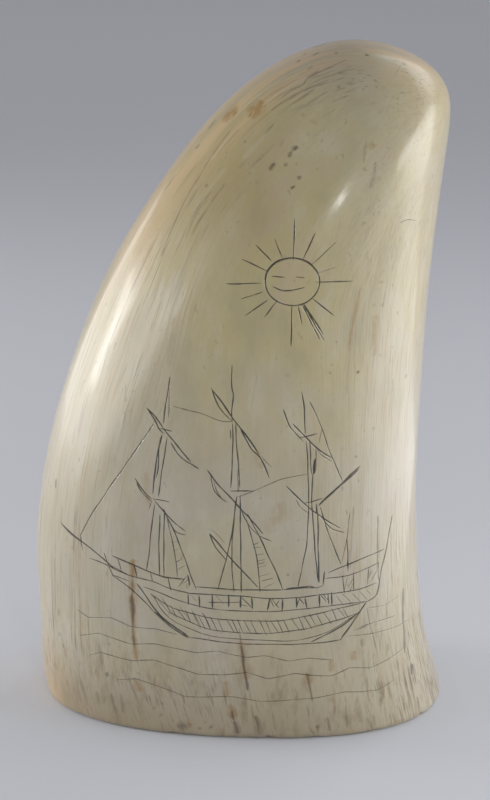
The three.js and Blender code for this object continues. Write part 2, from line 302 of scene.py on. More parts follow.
# The ship, bow at the left. Each stroke: width, strength of the ink, and x and z of each point.
# The two edges of a yard part in its middle and meet at its ends.
FOREMAST = [
    (0.42, 0.95, -14.1, 77.2, -14.6, 73.6, -15.1, 71.1, -15.4, 67.7),
    (0.36, 0.6, -14.2, 75, -14.3, 71.4, -14.4, 69),
    (0.42, 0.9, -18.7, 70.4, -17.3, 68.4, -16.4, 66.6, -15.3, 65.6),
    (0.44, 0.95, -18.7, 70.4, -16.9, 68.7, -14.7, 65.8, -12.6, 63.2, -9.9, 60),
    (0.42, 0.9, -14, 64, -12.6, 61.7, -11.2, 60.3, -9.9, 59.6, -8.4, 58.7),
    (0.5, 0.6, -11.1, 61.6, -10.5, 60.4), (0.36, 0.9, -16.4, 66.6, -15.3, 66.5, -13.8, 66.3),
    (0.5, 0.95, -15.8, 65.3, -16.4, 62.7, -17.2, 58, -17.7, 52.8),
    (0.42, 0.8, -15.7, 65.2, -16.4, 62, -16.6, 58.2, -17, 56.3),
    (0.38, 0.9, -14.7, 64.9, -15.3, 61.1, -15.9, 57.3, -16.6, 52.3),
    (0.42, 0.9, -21.3, 55.8, -20.3, 54.2, -19.2, 52.8, -17.9, 51.7),
    (0.4, 0.8, -21, 54.9, -20.3, 53.5, -19.2, 52.3, -17.9, 51.2),
    (0.38, 0.95, -17.6, 51.8, -15.9, 51.6, -14.3, 51.3),
    (0.42, 0.9, -17.4, 51.5, -15.3, 48.9, -13.3, 46.8, -11.2, 45.2),
    (0.4, 0.75, -15.6, 49.8, -14.9, 47.9, -13.1, 45, -11.1, 44.4), (0.34, 0.6, -18.1, 50.9, -18.5, 49.5),
    (0.38, 0.9, -17.3, 50.8, -18.1, 45.4, -18.5, 40.8, -19.2, 36),
    (0.4, 0.9, -16.3, 48.6, -16.6, 41, -16.5, 35.1), (0.4, 0.9, -15.4, 49.2, -15.6, 41.8, -15.6, 35.2),
]
MAINMAST = [
    (0.4, 0.95, -1.7, 80.5, -1.8, 76.1, -1.5, 74.3, -1.8, 70.6, -1.7, 68.9),
    (0.48, 1, -5.8, 75.5, -4, 73.1, -1.9, 70, 2, 64.7, 3.6, 62.1),
    (0.42, 0.9, -5.8, 75.5, -4.7, 72.5, -3.3, 70.5, -1.9, 69.1),
    (0.44, 0.95, -0.1, 67.3, 1.3, 64.7, 2.3, 63, 3.6, 61.7, 4.7, 59.7, 5.7, 57),
    (0.36, 0.6, 3.9, 61.9, 5.2, 60.3, 6.3, 59.2),
    (0.4, 0.9, -1.6, 68.6, -1.6, 63.1, -1.8, 58.4, -2, 54.8), (0.34, 0.8, -2.1, 67.1, -2, 65.2),
    (0.4, 0.9, -1, 68.4, -0.8, 63.2, -0.4, 59.4, -0.2, 55.1), (0.7, 0.4, -0.6, 58.8, -0.5, 54),
    (0.38, 0.95, -2.1, 54.2, -0.1, 54.2, 2.5, 54.2),
    (0.44, 0.95, -6.7, 58.5, -5, 56.1, -3, 53.8, -0.4, 50.8, 1.7, 48.4, 4.4, 44.9),
    (0.38, 0.8, -6.1, 57.8, -5.5, 54.7, -4.6, 53.2, -2.8, 51.7),
    (0.36, 0.7, -5.4, 56.2, -4.8, 54.1, -3.9, 52.6), (0.38, 0.7, 0, 50.6, 0.9, 48, 3.4, 44.7, 6.2, 43.2),
    (0.38, 0.9, -0.8, 53, -1.4, 48, -2.3, 42.2, -4.1, 34.8, -4.7, 32.6),
    (0.38, 0.85, -1, 52.3, -1.7, 43.6, -1.8, 37.9, -1.4, 32),
    (0.42, 0.9, -0.1, 53.4, -0.1, 48, 0, 40.4, 0.1, 32),
    (0.44, 1, -6.3, 44.9, -4.2, 42.3, -1.6, 38.9, 0.9, 36.1, 3.5, 33.1),
    (0.42, 0.9, -6.3, 44.7, -5.1, 42, -3, 39.1), (0.4, 0.4, -6.1, 45.9, -4.6, 44.5, -3.2, 42.7),
]
MIZZEN = [
    (0.42, 0.95, 12, 75.1, 12.5, 71.9, 12.8, 66.2),
    (0.42, 0.9, 8.4, 71.5, 9.5, 68.4, 10.8, 66.5, 12.4, 64.6),
    (0.46, 1, 10.3, 68.4, 12.8, 65.6, 14.9, 63.2, 18, 60.7),
    (0.34, 0.7, 15.1, 62.7, 16.4, 61.2, 18.1, 59.9), (0.36, 0.9, 11.6, 65.4, 13.1, 65.6, 15.1, 66.1),
    (0.34, 0.75, 13.6, 73, 15.2, 69.5, 16.7, 65.2, 18, 61.2, 20.4, 55.3),
    (0.3, 0.55, 16, 66.6, 15.5, 64), (0.38, 0.85, 13, 64.7, 13.3, 60.5, 13.5, 54.7, 13.6, 50.8),
    (0.4, 0.85, 13.7, 64.6, 13.9, 60.4, 14.1, 57.5), (0.34, 0.7, 14.9, 62.8, 15, 60.4),
    (1.1, 1, 14.8, 60.7, 14.7, 59.2, 14.6, 57.6), (0.42, 0.85, 14.4, 57.9, 14.2, 54.7, 14.2, 50.3),
    (0.42, 0.9, 23.9, 57.9, 22.3, 56.6, 20.5, 55.1, 17.9, 52.9, 15.6, 50.7),
    (0.4, 0.85, 23.7, 57.4, 22, 55.9, 20.2, 54.5, 17.7, 52.5, 15.7, 50.6),
    (0.8, 0.7, 23.4, 57.4, 22, 56.3, 20.7, 55.2),
    (0.42, 0.95, 9.1, 55.2, 11.1, 52.9, 12.7, 51.3, 15.4, 48.7, 17.8, 46.7, 20.1, 45.1),
    (0.34, 0.6, 11, 52.3, 11.8, 50.6, 13.8, 48.9),
    (0.38, 0.75, 15.7, 48.7, 16.9, 47, 18.5, 45.1, 21, 44),
    (0.38, 0.95, 12.7, 51.4, 14, 51.5, 16.3, 52.1),
    (0.36, 0.85, 13.6, 50.8, 13.5, 47.6, 13.3, 42.6, 12.5, 37.6, 11.6, 32.9),
    (0.42, 0.95, 14.2, 50.8, 14.5, 47.5, 15.1, 39.9, 15.8, 33.6),
    (0.42, 0.95, 15.2, 50.5, 15.5, 47.4, 15.7, 39.9, 16, 33.6),
    (0.36, 0.85, 15.9, 50.4, 17, 46.5, 18.6, 41.8, 20.4, 37), (0.34, 0.8, 15.1, 51.1, 15.1, 49),
]
RIGGING = [
    (0.36, 0.85, -17.4, 67.5, -22.4, 59.6, -26.9, 52.5, -30.8, 45.9, -32.9, 41.5),
    (0.28, 0.35, -15.8, 70.6, -17.6, 67.3),
    (0.3, 0.65, -13.7, 71.5, -10.4, 70.8, -7.4, 70.2, -4, 68.9, -1.7, 68.9),
    (0.32, 0.65, -0.5, 52.9, 2.7, 54.3, 5.9, 55.7, 8.6, 56.8, 13.2, 57.6),
    (0.3, 0.6, 22, 48.3, 21.5, 42.9, 20.5, 37.5), (0.34, 0.85, 21.5, 42.9, 21.7, 39.1, 21.8, 35.3),
    (0.6, 0.8, 21.7, 37.4, 21.8, 36.2), (0.28, 0.5, 27.9, 46.4, 28, 39, 28.2, 32.1),
]
LADDERS = [
    (0.34, 0.8, -14.9, 47.9, -13.9, 43, -13.1, 38.5, -12.9, 35.2),
    (0.38, 0.9, -14.7, 47.7, -13.3, 44.6, -11.9, 40.9, -10.3, 36, -9, 32.4),
    (0.36, 0.85, 1.1, 48, 2.5, 42.9, 3.2, 39.7, 3.6, 36.6, 3.9, 32.1),
    (0.4, 0.95, 1.3, 49.3, 3.4, 45, 5.5, 40.2, 7.2, 36.3, 8.5, 32.6),
]
RUNGS = [
    (0.28, 0.5, -13.8, 42.5, -12.9, 42.8), (0.28, 0.5, -13.5, 40.8, -12.7, 41.3),
    (0.3, 0.55, -13.1, 38.3, -11.9, 39.1), (0.3, 0.5, -12.7, 36.8, -11.3, 37.7),
    (0.3, 0.5, -12.5, 33.4, -10.9, 35.5), (0.3, 0.4, -11.9, 33.6, -10.7, 34.7),
    (0.28, 0.6, 2.7, 42.6, 3.4, 42.9), (0.28, 0.6, 2.7, 41.9, 4.1, 41.9),
    (0.3, 0.6, 3.1, 40.2, 4.7, 40.5), (0.28, 0.5, 3.2, 38.9, 4.9, 39.3),
    (0.28, 0.6, 3.5, 38.3, 4.9, 38.6), (0.28, 0.5, 3.5, 37.5, 5.2, 38), (0.3, 0.6, 3.9, 35.6, 5.8, 36.2),
    (0.3, 0.6, 4.2, 34.5, 6.5, 35.1), (0.3, 0.5, 4.6, 33.1, 6.8, 34.1),
]
BOW = [
    (0.46, 0.95, -37.3, 42.9, -35.1, 41.5, -33, 40.2, -30.8, 39, -27.9, 37.1, -26, 35.6),
    (0.44, 0.85, -36.9, 42.4, -34.9, 41.1, -32.6, 39.9),
    (0.36, 0.8, -32.9, 41.6, -32.9, 40.2, -32.6, 38.3), (0.38, 0.85, -28, 38.7, -27.3, 36.7, -26.2, 34),
    (0.46, 0.95, -26.3, 38.4, -21.9, 36.9, -19.2, 36, -16.5, 35.1, -15.1, 34.8, -11.5, 34.7),
    (0.36, 0.7, -26.8, 36.2, -22.8, 34.5), (0.36, 0.75, -26.2, 34, -22.8, 33.2),
    (0.4, 0.85, -26.2, 33.9, -23.9, 32.5, -19.5, 28.9, -17.9, 27.1),
    (0.85, 0.75, -17.9, 27.1, -14.5, 24.4, -10.8, 21.9),
    (0.5, 0.8, -16.9, 26.2, -14.3, 23.8, -10.8, 21.6),
    (0.48, 0.95, -21.2, 32.8, -19.5, 30.5, -17.4, 27.3, -14.1, 24.2, -11.2, 22.3),
    (0.36, 0.7, -18.4, 31.1, -17.4, 29.8, -16.4, 27.9, -14.7, 26, -12.4, 24.5, -7.9, 22.7),
    (0.36, 0.7, -25.1, 38, -24.5, 35.6), (0.38, 0.85, -21.8, 36.9, -21.2, 34.4),
    (0.34, 0.75, -18.4, 35.5, -17.9, 33.7), (0.44, 0.95, -14.7, 34.6, -14.2, 32.1),
    (0.6, 1, -10.7, 35.4, -10.4, 33.3), (0.32, 0.5, -12.7, 32.9, -11.1, 35),
    (0.3, 0.4, -12.2, 32.8, -10.7, 34.6),
]
HULL = [
    (0.38, 0.8, -31.3, 36.8, -27.9, 36.2, -22.6, 34.4, -17.8, 33.7, -14.7, 32.5, -10.3, 31.6),
    (0.38, 0.9, -10.7, 31.6, -5.7, 31.4, 0, 31.2, 5.1, 30.7, 11.6, 30.6, 15.9, 30.9),
    (0.36, 0.9, 15.9, 30.9, 19.9, 31, 23.9, 31, 27.9, 31.6),
    (0.36, 0.8, -19.9, 32.3, -17, 31.5, -12.8, 30, -8.4, 28.7, -4.2, 28.1),
    (0.36, 0.85, -4.2, 28.1, 0.4, 27.9, 8.4, 27.8, 15.7, 28.2, 21.6, 28.3, 25.7, 28.1),
    (0.36, 0.8, -18.2, 30.7, -14.1, 28.3, -8.9, 26.8, -4.2, 26, 0.4, 25.8),
    (0.36, 0.85, 0.4, 25.8, 8.1, 25.7, 14, 26.5, 19.2, 27.4, 25.2, 28),
    (0.34, 0.8, -14.9, 27.3, -12.8, 26.3, -7.8, 24.1, -3.7, 23.4, 0.4, 23.1),
    (0.36, 0.85, 0.4, 23.1, 5.8, 23, 12.2, 23.5, 15.7, 24.2, 20.4, 25.1, 24, 25.9),
    (0.34, 0.7, -7.9, 22.7, -4.3, 22, 2.8, 21.6, 8.9, 21.2, 13.3, 21.5, 18.1, 22.8, 24.5, 26.1),
    (0.46, 0.9, 14.3, 20.7, 19.2, 22.9, 21.6, 24.1, 24.2, 26.1),
    (0.36, 0.85, -10.8, 21.8, -4.3, 21.1, 0.4, 20.7), (0.36, 0.85, 0.4, 20.7, 14.1, 20.4, 20.7, 20.7),
    (0.48, 1, 25.7, 27.9, 23.5, 24.8, 20.6, 20.9),
    (0.42, 0.95, -9.2, 33.1, -4.7, 32.8, -0.2, 32.6, 8.5, 32.5),
    (0.38, 0.95, 8.5, 32.5, 12.1, 32.7, 15.6, 32.5, 16.6, 32.9),
    (0.44, 0.9, 9.3, 32.7, 12.1, 32.8, 14, 33, 15.1, 32.6), (0.44, 1, 17, 35.9, 16.8, 33),
]
STERN = [
    (0.38, 0.9, 17.8, 35.6, 21, 36.7, 25.1, 37.7, 29.4, 38.4),
    (0.34, 0.8, 17.2, 34.4, 21, 34.4, 23.9, 34.9, 28.2, 35.8),
    (0.36, 0.85, 31.2, 45.2, 29.9, 38.3, 28.8, 33.7, 28, 29.2, 27, 28.4, 25.7, 27.9),
    (0.36, 0.75, 28.2, 36, 28.2, 32.1), (0.36, 0.85, 20.7, 34.7, 21.1, 30.7),
    (0.34, 0.7, 22.9, 34.9, 23, 30.8), (0.34, 0.7, 26.1, 35.2, 26, 31.7),
    (0.3, 0.55, 21.2, 31.6, 21.7, 34.1), (0.3, 0.55, 21.8, 31.6, 22.8, 33.6),
    (0.3, 0.5, 22.3, 31.2, 22.8, 32.4), (0.3, 0.5, 26.2, 33.3, 26.8, 34.5),
    (0.3, 0.5, 26.6, 32.1, 27.9, 34.2),
]
PORTS = [
    (0.46, 0.95, -10.7, 31.3, -10.7, 29.2), (0.42, 0.9, -8.5, 31, -8.4, 28.7),
    (0.3, 0.4, -10.1, 31.2, -8.9, 29.7), (0.6, 1, -5.8, 31.4, -5.8, 28.6),
    (0.5, 1, -2.5, 31.3, -2.5, 28.8), (0.36, 0.8, -6.7, 29.7, -3.4, 29.7, -0.2, 29.9),
    (0.3, 0.5, -5, 31.1, -3.4, 29.4), (0.66, 1, 0, 31.2, -0.1, 28.7), (0.38, 0.7, 0.2, 30.8, 2.3, 28.6),
    (0.52, 1, 2.2, 30.7, 2.4, 28.5), (0.4, 0.6, 0, 29.3, 1.3, 29), (0.56, 1, 5.9, 30.6, 5.4, 28.2),
    (0.5, 1, 8.5, 30.2, 8.4, 27.9), (0.34, 0.7, 6, 30.5, 6.7, 28.8), (0.34, 0.8, 6.4, 30.5, 7.7, 28.6),
    (0.34, 0.7, 7.8, 30.1, 7.1, 29.1), (0.52, 1, 11.3, 30.5, 11.4, 28.5),
    (0.56, 1, 13.1, 30.4, 13.5, 28.4), (0.36, 0.8, 12.1, 30.5, 11.5, 28.9),
    (0.36, 0.7, 11.8, 30.5, 12.9, 29.1), (0.52, 1, 16, 30.8, 16.1, 28.5),
    (0.46, 0.95, 17.8, 30.9, 18, 28.7), (0.52, 1, 18.5, 31.1, 18.6, 28.6),
    (0.36, 0.7, 16.3, 30.7, 17.5, 29.2), (0.34, 0.6, 16.9, 30.7, 17.8, 29.6),
]
HATCHING = [
    (0.28, 0.6, 19.4, 30.6, 20.9, 28.2), (0.28, 0.6, 20.6, 30.7, 22.5, 28.4),
    (0.28, 0.6, 22.7, 30.4, 24.7, 28), (0.28, 0.6, 24.2, 30.6, 26.1, 28.2),
    (0.28, 0.6, 25.6, 30.8, 26.9, 29), (0.28, 0.5, -17.6, 30.6, -14.6, 27),
    (0.28, 0.5, -16.2, 30.4, -13.4, 26.2), (0.28, 0.5, -12.6, 28.9, -10.2, 25.2),
    (0.28, 0.5, -10.2, 28.3, -8.2, 24.4), (0.28, 0.5, -8, 27.6, -6.2, 23.6),
]
# Slanting lines fill the planks between two lines of the hull. Each line is two strokes of HULL,
# of which the second begins where the first ends.
PLANK_TOP = (5, 6)
PLANK_FOOT = (7, 8)
HATCHED_FROM = -15.5
HATCHED_TO = 21
HATCH_STEP = 1.35
HATCH_LEAN = 1.45
HATCH_UNEVEN = 0.25


def plank_line(first, second):
    return pairs([*HULL[first][2:], *HULL[second][4:]]).T


def hatched_planks():
    top_x, top_z = plank_line(*PLANK_TOP)
    foot_x, foot_z = plank_line(*PLANK_FOOT)
    for k, x in enumerate(np.arange(HATCHED_FROM, HATCHED_TO, HATCH_STEP)):
        start = x + HATCH_UNEVEN * math.sin(5.1 * k)
        end = start + HATCH_LEAN + HATCH_UNEVEN * math.sin(3.7 * k)
        high = np.interp(start, top_x, top_z) + 0.25 + HATCH_UNEVEN * math.sin(2.3 * k)
        low = np.interp(end, foot_x, foot_z) - 0.2 - HATCH_UNEVEN * math.sin(1.9 * k)
        engrave(through((start, high), (end, low)), 0.3, 0.72)


SHIP = [FOREMAST, MAINMAST, MIZZEN, RIGGING, LADDERS, RUNGS, BOW, HULL, STERN, PORTS, HATCHING]


# The waves, each by its ink, and x and z of the points where its direction changes.
WAVES = [
    (0.6, -34.1, 24.6, -31.6, 23.4, -26.9, 24.4, -22.9, 23, -17.6, 23.2, -12.8, 22.2),
    (0.6, -33.6, 18.8, -29.5, 20.3, -22.4, 19.1, -17.4, 19.8, -9.5, 18.4, -4.9, 19),
    (0.6, -4.9, 19, 1.2, 17.7, 5.1, 18.1, 9.9, 16.8, 14.1, 17.3, 18.6, 16.6),
    (0.65, -31.5, 14.9, -29.1, 16, -22.3, 15.4, -17.7, 16.1, -9, 13.7, -3.9, 13.8),
    (0.65, -3.9, 13.8, 1.2, 14.4, 5.4, 13.1, 11, 14.1, 18.7, 13.1, 22.4, 14.4),
    (0.55, 22.4, 14.4, 26.7, 13.7, 31.4, 14.8, 34.2, 15.9),
    (0.55, -25.8, 10.6, -21.8, 11.4, -16.9, 10.3, -11.8, 8.6, -1.6, 9.1, 4, 8.2),
    (0.55, 4, 8.2, 14.2, 8.7, 21.5, 9.4, 28.2, 8.7, 31.7, 9.8), (0.45, 26, 26.5, 29.5, 26.1, 32.8, 27.1),
    (0.55, 23.7, 22.2, 26.6, 23.1, 32, 23.2), (0.55, 21.5, 21.3, 26.6, 20.9, 32, 20.7, 34.8, 20.9),
    (0.45, 23, 22.3, 26.2, 23.1), (0.4, 25.8, 26.6, 26.8, 22, 27.8, 17.5),
]


def waves():
    for ink, *numbers in WAVES:
        engrave(pairs(numbers), 0.32, ink, wobble=0.06)


# A lone scratch at the right, above the sun's height.
SCRATCH = (0.3, 0.7, 31.2, 107.5, 32.8, 107.9, 34.5, 107.4)

# Natural cracks, stained grain and blots on the front, given as the ship's strokes are.
STAINS = [
    (0.32, 0.75, -1.8, 124.2, -4.3, 121, -6.9, 117.4, -8.9, 114.2, -10.4, 111.9, -11.7, 109.7,
     -13.2, 106.3, -14.5, 103.6, -16.1, 99.5), (0.3, 0.5, -0.1, 124.7, -2.9, 121.6, -5.3, 118.5),
    (0.5, 0.5, -2.8, 115.1, -6.8, 109.6, -10, 104.4), (0.5, 0.5, -5.7, 113.3, -8.8, 108.6, -11.2, 103.5),
    (0.35, 0.5, -8.3, 117.9, -10.9, 114.3, -13.7, 110), (0.9, 0.6, -4.9, 125.1, -6.7, 122.7),
    (0.8, 0.75, -8, 120.5, -9.3, 119.2), (0.6, 0.7, -13, 114.3, -14.4, 112.2, -15.5, 110.7),
    (0.6, 0.55, 6.7, 126.3, 4.5, 123.9), (0.5, 0.45, 8.5, 124, 7.5, 121.9),
    (1.5, 0.85, 11, 122.9, 10.3, 121.5), (1.2, 0.7, 10, 121.8, 9.3, 120.2),
    (0.8, 0.6, 9.2, 119.5, 8.4, 118.6), (1, 0.9, 6.7, 119.6, 5.5, 117.7),
    (1, 0.85, 11.9, 117.4, 10.9, 116.5), (0.9, 0.85, 10.7, 115.6, 9.6, 114.5),
    (0.8, 0.6, 1, 122.8, 0.5, 122.2), (0.8, 0.4, -2.6, 120.3, -3.1, 119.8),
    (1, 0.45, 4.5, 120.8, 3.9, 120.3), (0.7, 0.45, 2, 117.3, 1.5, 116.8),
    (1, 0.4, 2.7, 115.4, 3.3, 115.8), (1, 0.45, -6.5, 114.3, -7.1, 113.5),
    (0.9, 0.8, 13.2, 137.9, 12.3, 137.5), (0.7, 0.75, 16, 138.5, 14, 137.6),
    (0.8, 0.7, 12.2, 137, 10.9, 136.5), (1.3, 0.6, 19.4, 138.6, 18.6, 138.4),
    (0.35, 0.7, 21.4, 137.8, 17.4, 136.2, 13.6, 134.5, 12.1, 132.9),
    (0.7, 0.5, 14.6, 136.4, 12.9, 135.5), (0.7, 0.5, 15.6, 135.8, 13.8, 134.5),
    (0.7, 0.45, 12.3, 133.1, 9.3, 131.8), (1.2, 0.5, 19.7, 133.4, 18.8, 132.9),
    (0.8, 0.4, 12.5, 128.4, 11.9, 127.7), (1.3, 0.4, 13.7, 125.1, 12.7, 124.6),
    (0.9, 0.4, 16.4, 123.8, 15.4, 123.6), (1.1, 0.35, 15.1, 119, 14.6, 118.3),
    (0.35, 0.5, 18.6, 121.4, 18.5, 120.2), (0.35, 0.5, 20, 121.7, 19.9, 120.4),
    (1.2, 0.85, 25.4, 138.5, 24.7, 138.3), (0.35, 0.4, 32.2, 137, 31.1, 136, 30.1, 134.7),
    (0.7, 0.45, 24.5, 124.2, 24.1, 121.9, 23.9, 119.3), (1.3, 0.5, 24.3, 119.1, 23.8, 118.3),
    (0.9, 0.5, 26.3, 120.3, 25.9, 117.3, 24.9, 114.7), (0.3, 0.4, 19.5, 109.1, 19, 106.8),
    (0.45, 0.6, -21.9, 38, -22.2, 31.3, -22.3, 24.6, -21.8, 17.7),
    (1, 1, -22.4, 30.5, -22.2, 27.3, -22.2, 25), (0.7, 0.8, -22.2, 26.4, -22.2, 22.9),
    (0.8, 0.85, -22.2, 21.4, -22, 18.8), (1.1, 0.85, -27.9, 12.2, -27.8, 10.6),
    (0.9, 0.5, -37.1, 15.9, -37.1, 14.6), (0.6, 0.5, -38, 23.7, -38.2, 21.3),
    (0.7, 0.5, -37.9, 18.2, -38, 16.9), (0.9, 0.45, -27, 18.8, -27.6, 17.9),
    (0.9, 0.4, -24.8, 18.6, -25.3, 17.6), (1.3, 0.5, -30, 7.4, -29.7, 3.8),
    (1, 0.65, -27.1, 7.6, -26.5, 5.2, -25.9, 2.4), (0.9, 0.5, -25.1, 8, -24.7, 5.8, -24.5, 3),
    (0.9, 0.4, -32.9, 7.9, -32.7, 5.2, -32.3, 2.6), (0.8, 0.35, -34.8, 11, -34.1, 6.1, -33.4, 3.1),
    (1.1, 0.5, -22.4, 11.7, -21.9, 11), (0.45, 0.75, -0.3, 24.6, 0, 20.7),
    (0.65, 1, 0, 20.7, 0.5, 16.5, 1.4, 10.2), (1, 0.5, -18.3, 5.7, -17.8, 5.2),
    (1.1, 0.6, -16.9, 4.5, -16.3, 3.7), (0.8, 0.45, -16.1, 7, -16.3, 6.2),
    (0.9, 0.4, -19.9, 3.3, -19.6, 2.7), (2, 0.6, -13.7, 2.1, -12, 2.1, -10, 2.6),
    (1, 0.45, -7.7, 3.7, -7.2, 3.1), (1.5, 0.5, -6.5, 2.7, -5.8, 2.1), (0.9, 0.45, -8.7, 2.3, -8.4, 1.5),
    (0.9, 0.8, -2, 6.5, -1.4, 3.9), (1.5, 0.9, -1.5, 4, -0.8, 2.4, -0.2, 0.9),
    (1.3, 0.8, 2.8, 5.5, 3.5, 3.2, 4.6, 0.6), (1, 0.5, 3.3, 3.8, 3.6, 1.9),
    (1, 0.75, 15.8, 3.1, 15.9, 2), (0.7, 0.55, 13.8, 3.1, 14.5, 1.9, 15.4, 0.8),
    (0.7, 0.55, 17.8, 4.8, 18.1, 3, 18.4, 1.1), (0.55, 0.7, 13.5, 14.4, 14.1, 11.4, 14.8, 7.7),
    (0.7, 0.4, 21.6, 7.1, 22, 1.6), (0.7, 0.5, 24.4, 6.7, 24.7, 4.4, 25.1, 2.1),
    (0.8, 0.65, 26, 3.6, 26.8, 1.9, 27.7, 0.3), (0.7, 0.5, 27.3, 4.2, 27.9, 1),
    (0.7, 0.5, 29.9, 5, 30.2, 2.7), (0.9, 0.8, 33.7, 28.5, 33.6, 22.8, 33.9, 18.5, 34.1, 14.1),
    (1.2, 1, 35.6, 12, 35.8, 9.1), (0.6, 0.5, 35.8, 9.3, 36.3, 7.3), (0.7, 0.6, 38.4, 11.3, 39.1, 8.5),
    (0.8, 0.6, 36.9, 4.9, 37.6, 0.9), (0.7, 0.45, 33.3, 6.7, 33.9, 4.7, 34.6, 2.5),
    (0.5, 0.45, 37.9, 20.7, 37.1, 18.9), (1.1, 0.4, 25.4, 25.2, 25.6, 21.9),
    (0.9, 0.5, 24.9, 20.4, 25.1, 18.2), (0.9, 0.45, 30.2, 18.1, 30.4, 15.9),
    (1.2, 0.35, 34.8, 18.9, 35.3, 16.3), (0.8, 0.5, -29, 77.6, -29.2, 77),
    (0.5, 0.45, -23, 75, -23.1, 70.7), (0.9, 0.6, -23, 72.2, -23.1, 70.7),
    (0.4, 0.35, -23.4, 70.2, -23.5, 68.2), (1, 0.65, -38.1, 51.7, -38.3, 49.1),
    (1, 0.45, -28.7, 56.6, -28.8, 55.7), (1, 0.3, -25.4, 60.7, -25.5, 58.2),
    (1, 0.3, -20.3, 77.3, -20.6, 76.5), (0.7, 0.35, -36.8, 46.7, -37.1, 41.2),
    (0.6, 0.35, -31.9, 73.3, -33, 69.2), (0.5, 0.4, -33.6, 64, -34.5, 59.4),
    (0.7, 0.45, 19, 85.2, 18.8, 84.6), (0.9, 0.5, 18.2, 80.5, 17.9, 79.9),
    (0.8, 0.85, 23.2, 78.7, 23.1, 77.8), (0.9, 0.8, 33.5, 75.4, 33.2, 74.1),
    (1.4, 0.4, 27.9, 96.6, 27.6, 95.6), (0.9, 0.35, 23.8, 95.7, 23.3, 94.9),
    (0.3, 0.35, 21.7, 85.9, 21.5, 82.5, 21.2, 78.8, 21.1, 73.5), (0.9, 0.35, 33.5, 90.2, 33.3, 89.6),
    (0.5, 0.45, 30.5, 75.6, 30.5, 71.7), (0.8, 0.6, 23.1, 60.6, 22.9, 59.8),
    (0.8, 0.6, 9.6, 36.2, 9.5, 35.4), (0.7, 0.4, -22.9, 72.5, -23.1, 70.7),
    (0.7, 0.4, 9.4, 79.1, 8.9, 78), (0.35, 0.45, 3.3, 79.2, 2.6, 74.7, 2, 71.6),
    (0.9, 0.45, 17.8, 79, 17.6, 78.2), (0.5, 0.4, 33.6, 75, 33.2, 73.9),
    (0.5, 0.45, 22.8, 49.7, 22.4, 42.1, 22.3, 35.6), (0.5, 0.35, 28.1, 46.3, 28.4, 36.4),
]
# Patches and streaks that have only browned.
BROWNED = [
    (3.6, 1, -4, 125.3, -2.3, 126.4, -0.5, 127.2), (3.4, 0.9, 1.2, 126.5, 2.8, 128, 4.6, 130),
    (1.6, 0.6, 2.6, 128.3, 3.8, 129.5), (2.6, 0.4, 14.5, 127.5, 13.8, 126.6),
    (1.8, 0.5, 25.7, 123.8, 25.6, 121.8),
    (1.7, 0.75, -21.9, 38.5, -22.1, 33.6, -22.2, 28.2, -22.2, 23.2),
    (1.2, 0.65, -22.2, 25, -21.9, 19, -21.4, 14.8), (1.8, 0.5, -22, 11.2, -20.6, 8.3),
    (1.4, 0.6, -3.1, 12.9, -2.8, 9), (1.8, 0.6, 0, 21.6, 1.1, 12.4), (2.4, 0.7, -11.3, 2.7, -9.9, 2.8),
    (2, 0.7, -2.1, 7.8, -1.5, 4.1), (1.5, 0.6, 13.5, 14.4, 14.1, 11.4), (2, 0.5, 23.4, 18.2, 23.1, 15.6),
    (2.2, 0.5, 18.6, 17, 18.4, 13.8), (0.8, 0.5, 23.5, 95.3, 22.3, 89.2, 21.7, 85.9, 21.5, 82.5),
    (2.4, 0.4, 27, 89.9, 26.5, 87.1, 26.5, 80.7), (2.6, 0.35, 3, 63.5, 4.2, 58.8),
    (2, 0.4, -19, 57.8, -18.6, 49.8), (4.5, 0.35, 7.7, 52.2, 8.5, 46.8), (3.5, 0.35, 5.9, 49, 6.3, 44.6),
]


def picture():
    sun()
    for part in SHIP:
        engrave_all(part)
    hatched_planks()
    waves()
    engrave_all([SCRATCH])
    engrave_all(STAINS, STAIN, STAIN_SPREAD)
    engrave_all(BROWNED, OCHRE, STAIN_SPREAD)


# A stroke gets thin over this length, or over this share of it where it is short.
TAPER_LENGTH = 1.6
TAPER_SHARE = 0.35
# A cut less deep than this doesn't count as a groove.
SHALLOW = 0.02
# The run-out of a stroke leaves no mark where it is thinner than this share of its width.
THINNEST = 0.1


def with_edges(stroke):
    """Adds the stroke's middle line on the surface and how far its edges are from it."""
    line = stroke["line"]
    down, turn = locate_front(line[:, 0], line[:, 1])
    points = surface(down, turn)
    along = np.gradient(points, axis=0)
    along /= np.linalg.norm(along, axis=1, keepdims=True)
    sideways = np.cross(along, surface_normal(down, turn))
    length = lengths_along(line)
    to_end = np.minimum(length, length[-1] - length)
    taper = np.clip(to_end / min(TAPER_LENGTH, TAPER_SHARE * length[-1]), 0, 1) ** 0.5
    uneven = 1 + 0.16 * np.sin(0.8 * length + stroke["seed"])
    uneven += 0.1 * np.sin(2.1 * length - stroke["seed"])
    half = stroke["width"] / 2 * taper * uneven
    stroke["points"] = points
    stroke["half"] = half
    stroke["down_turn"] = (down, turn)
    stroke["sides"] = [points + side * sideways * half[:, None] for side in (-1, 1)]


def unroll(down, turn):
    return np.stack([turn * UNROLLED_TURN, down * UNROLLED_DOWN], axis=-1)


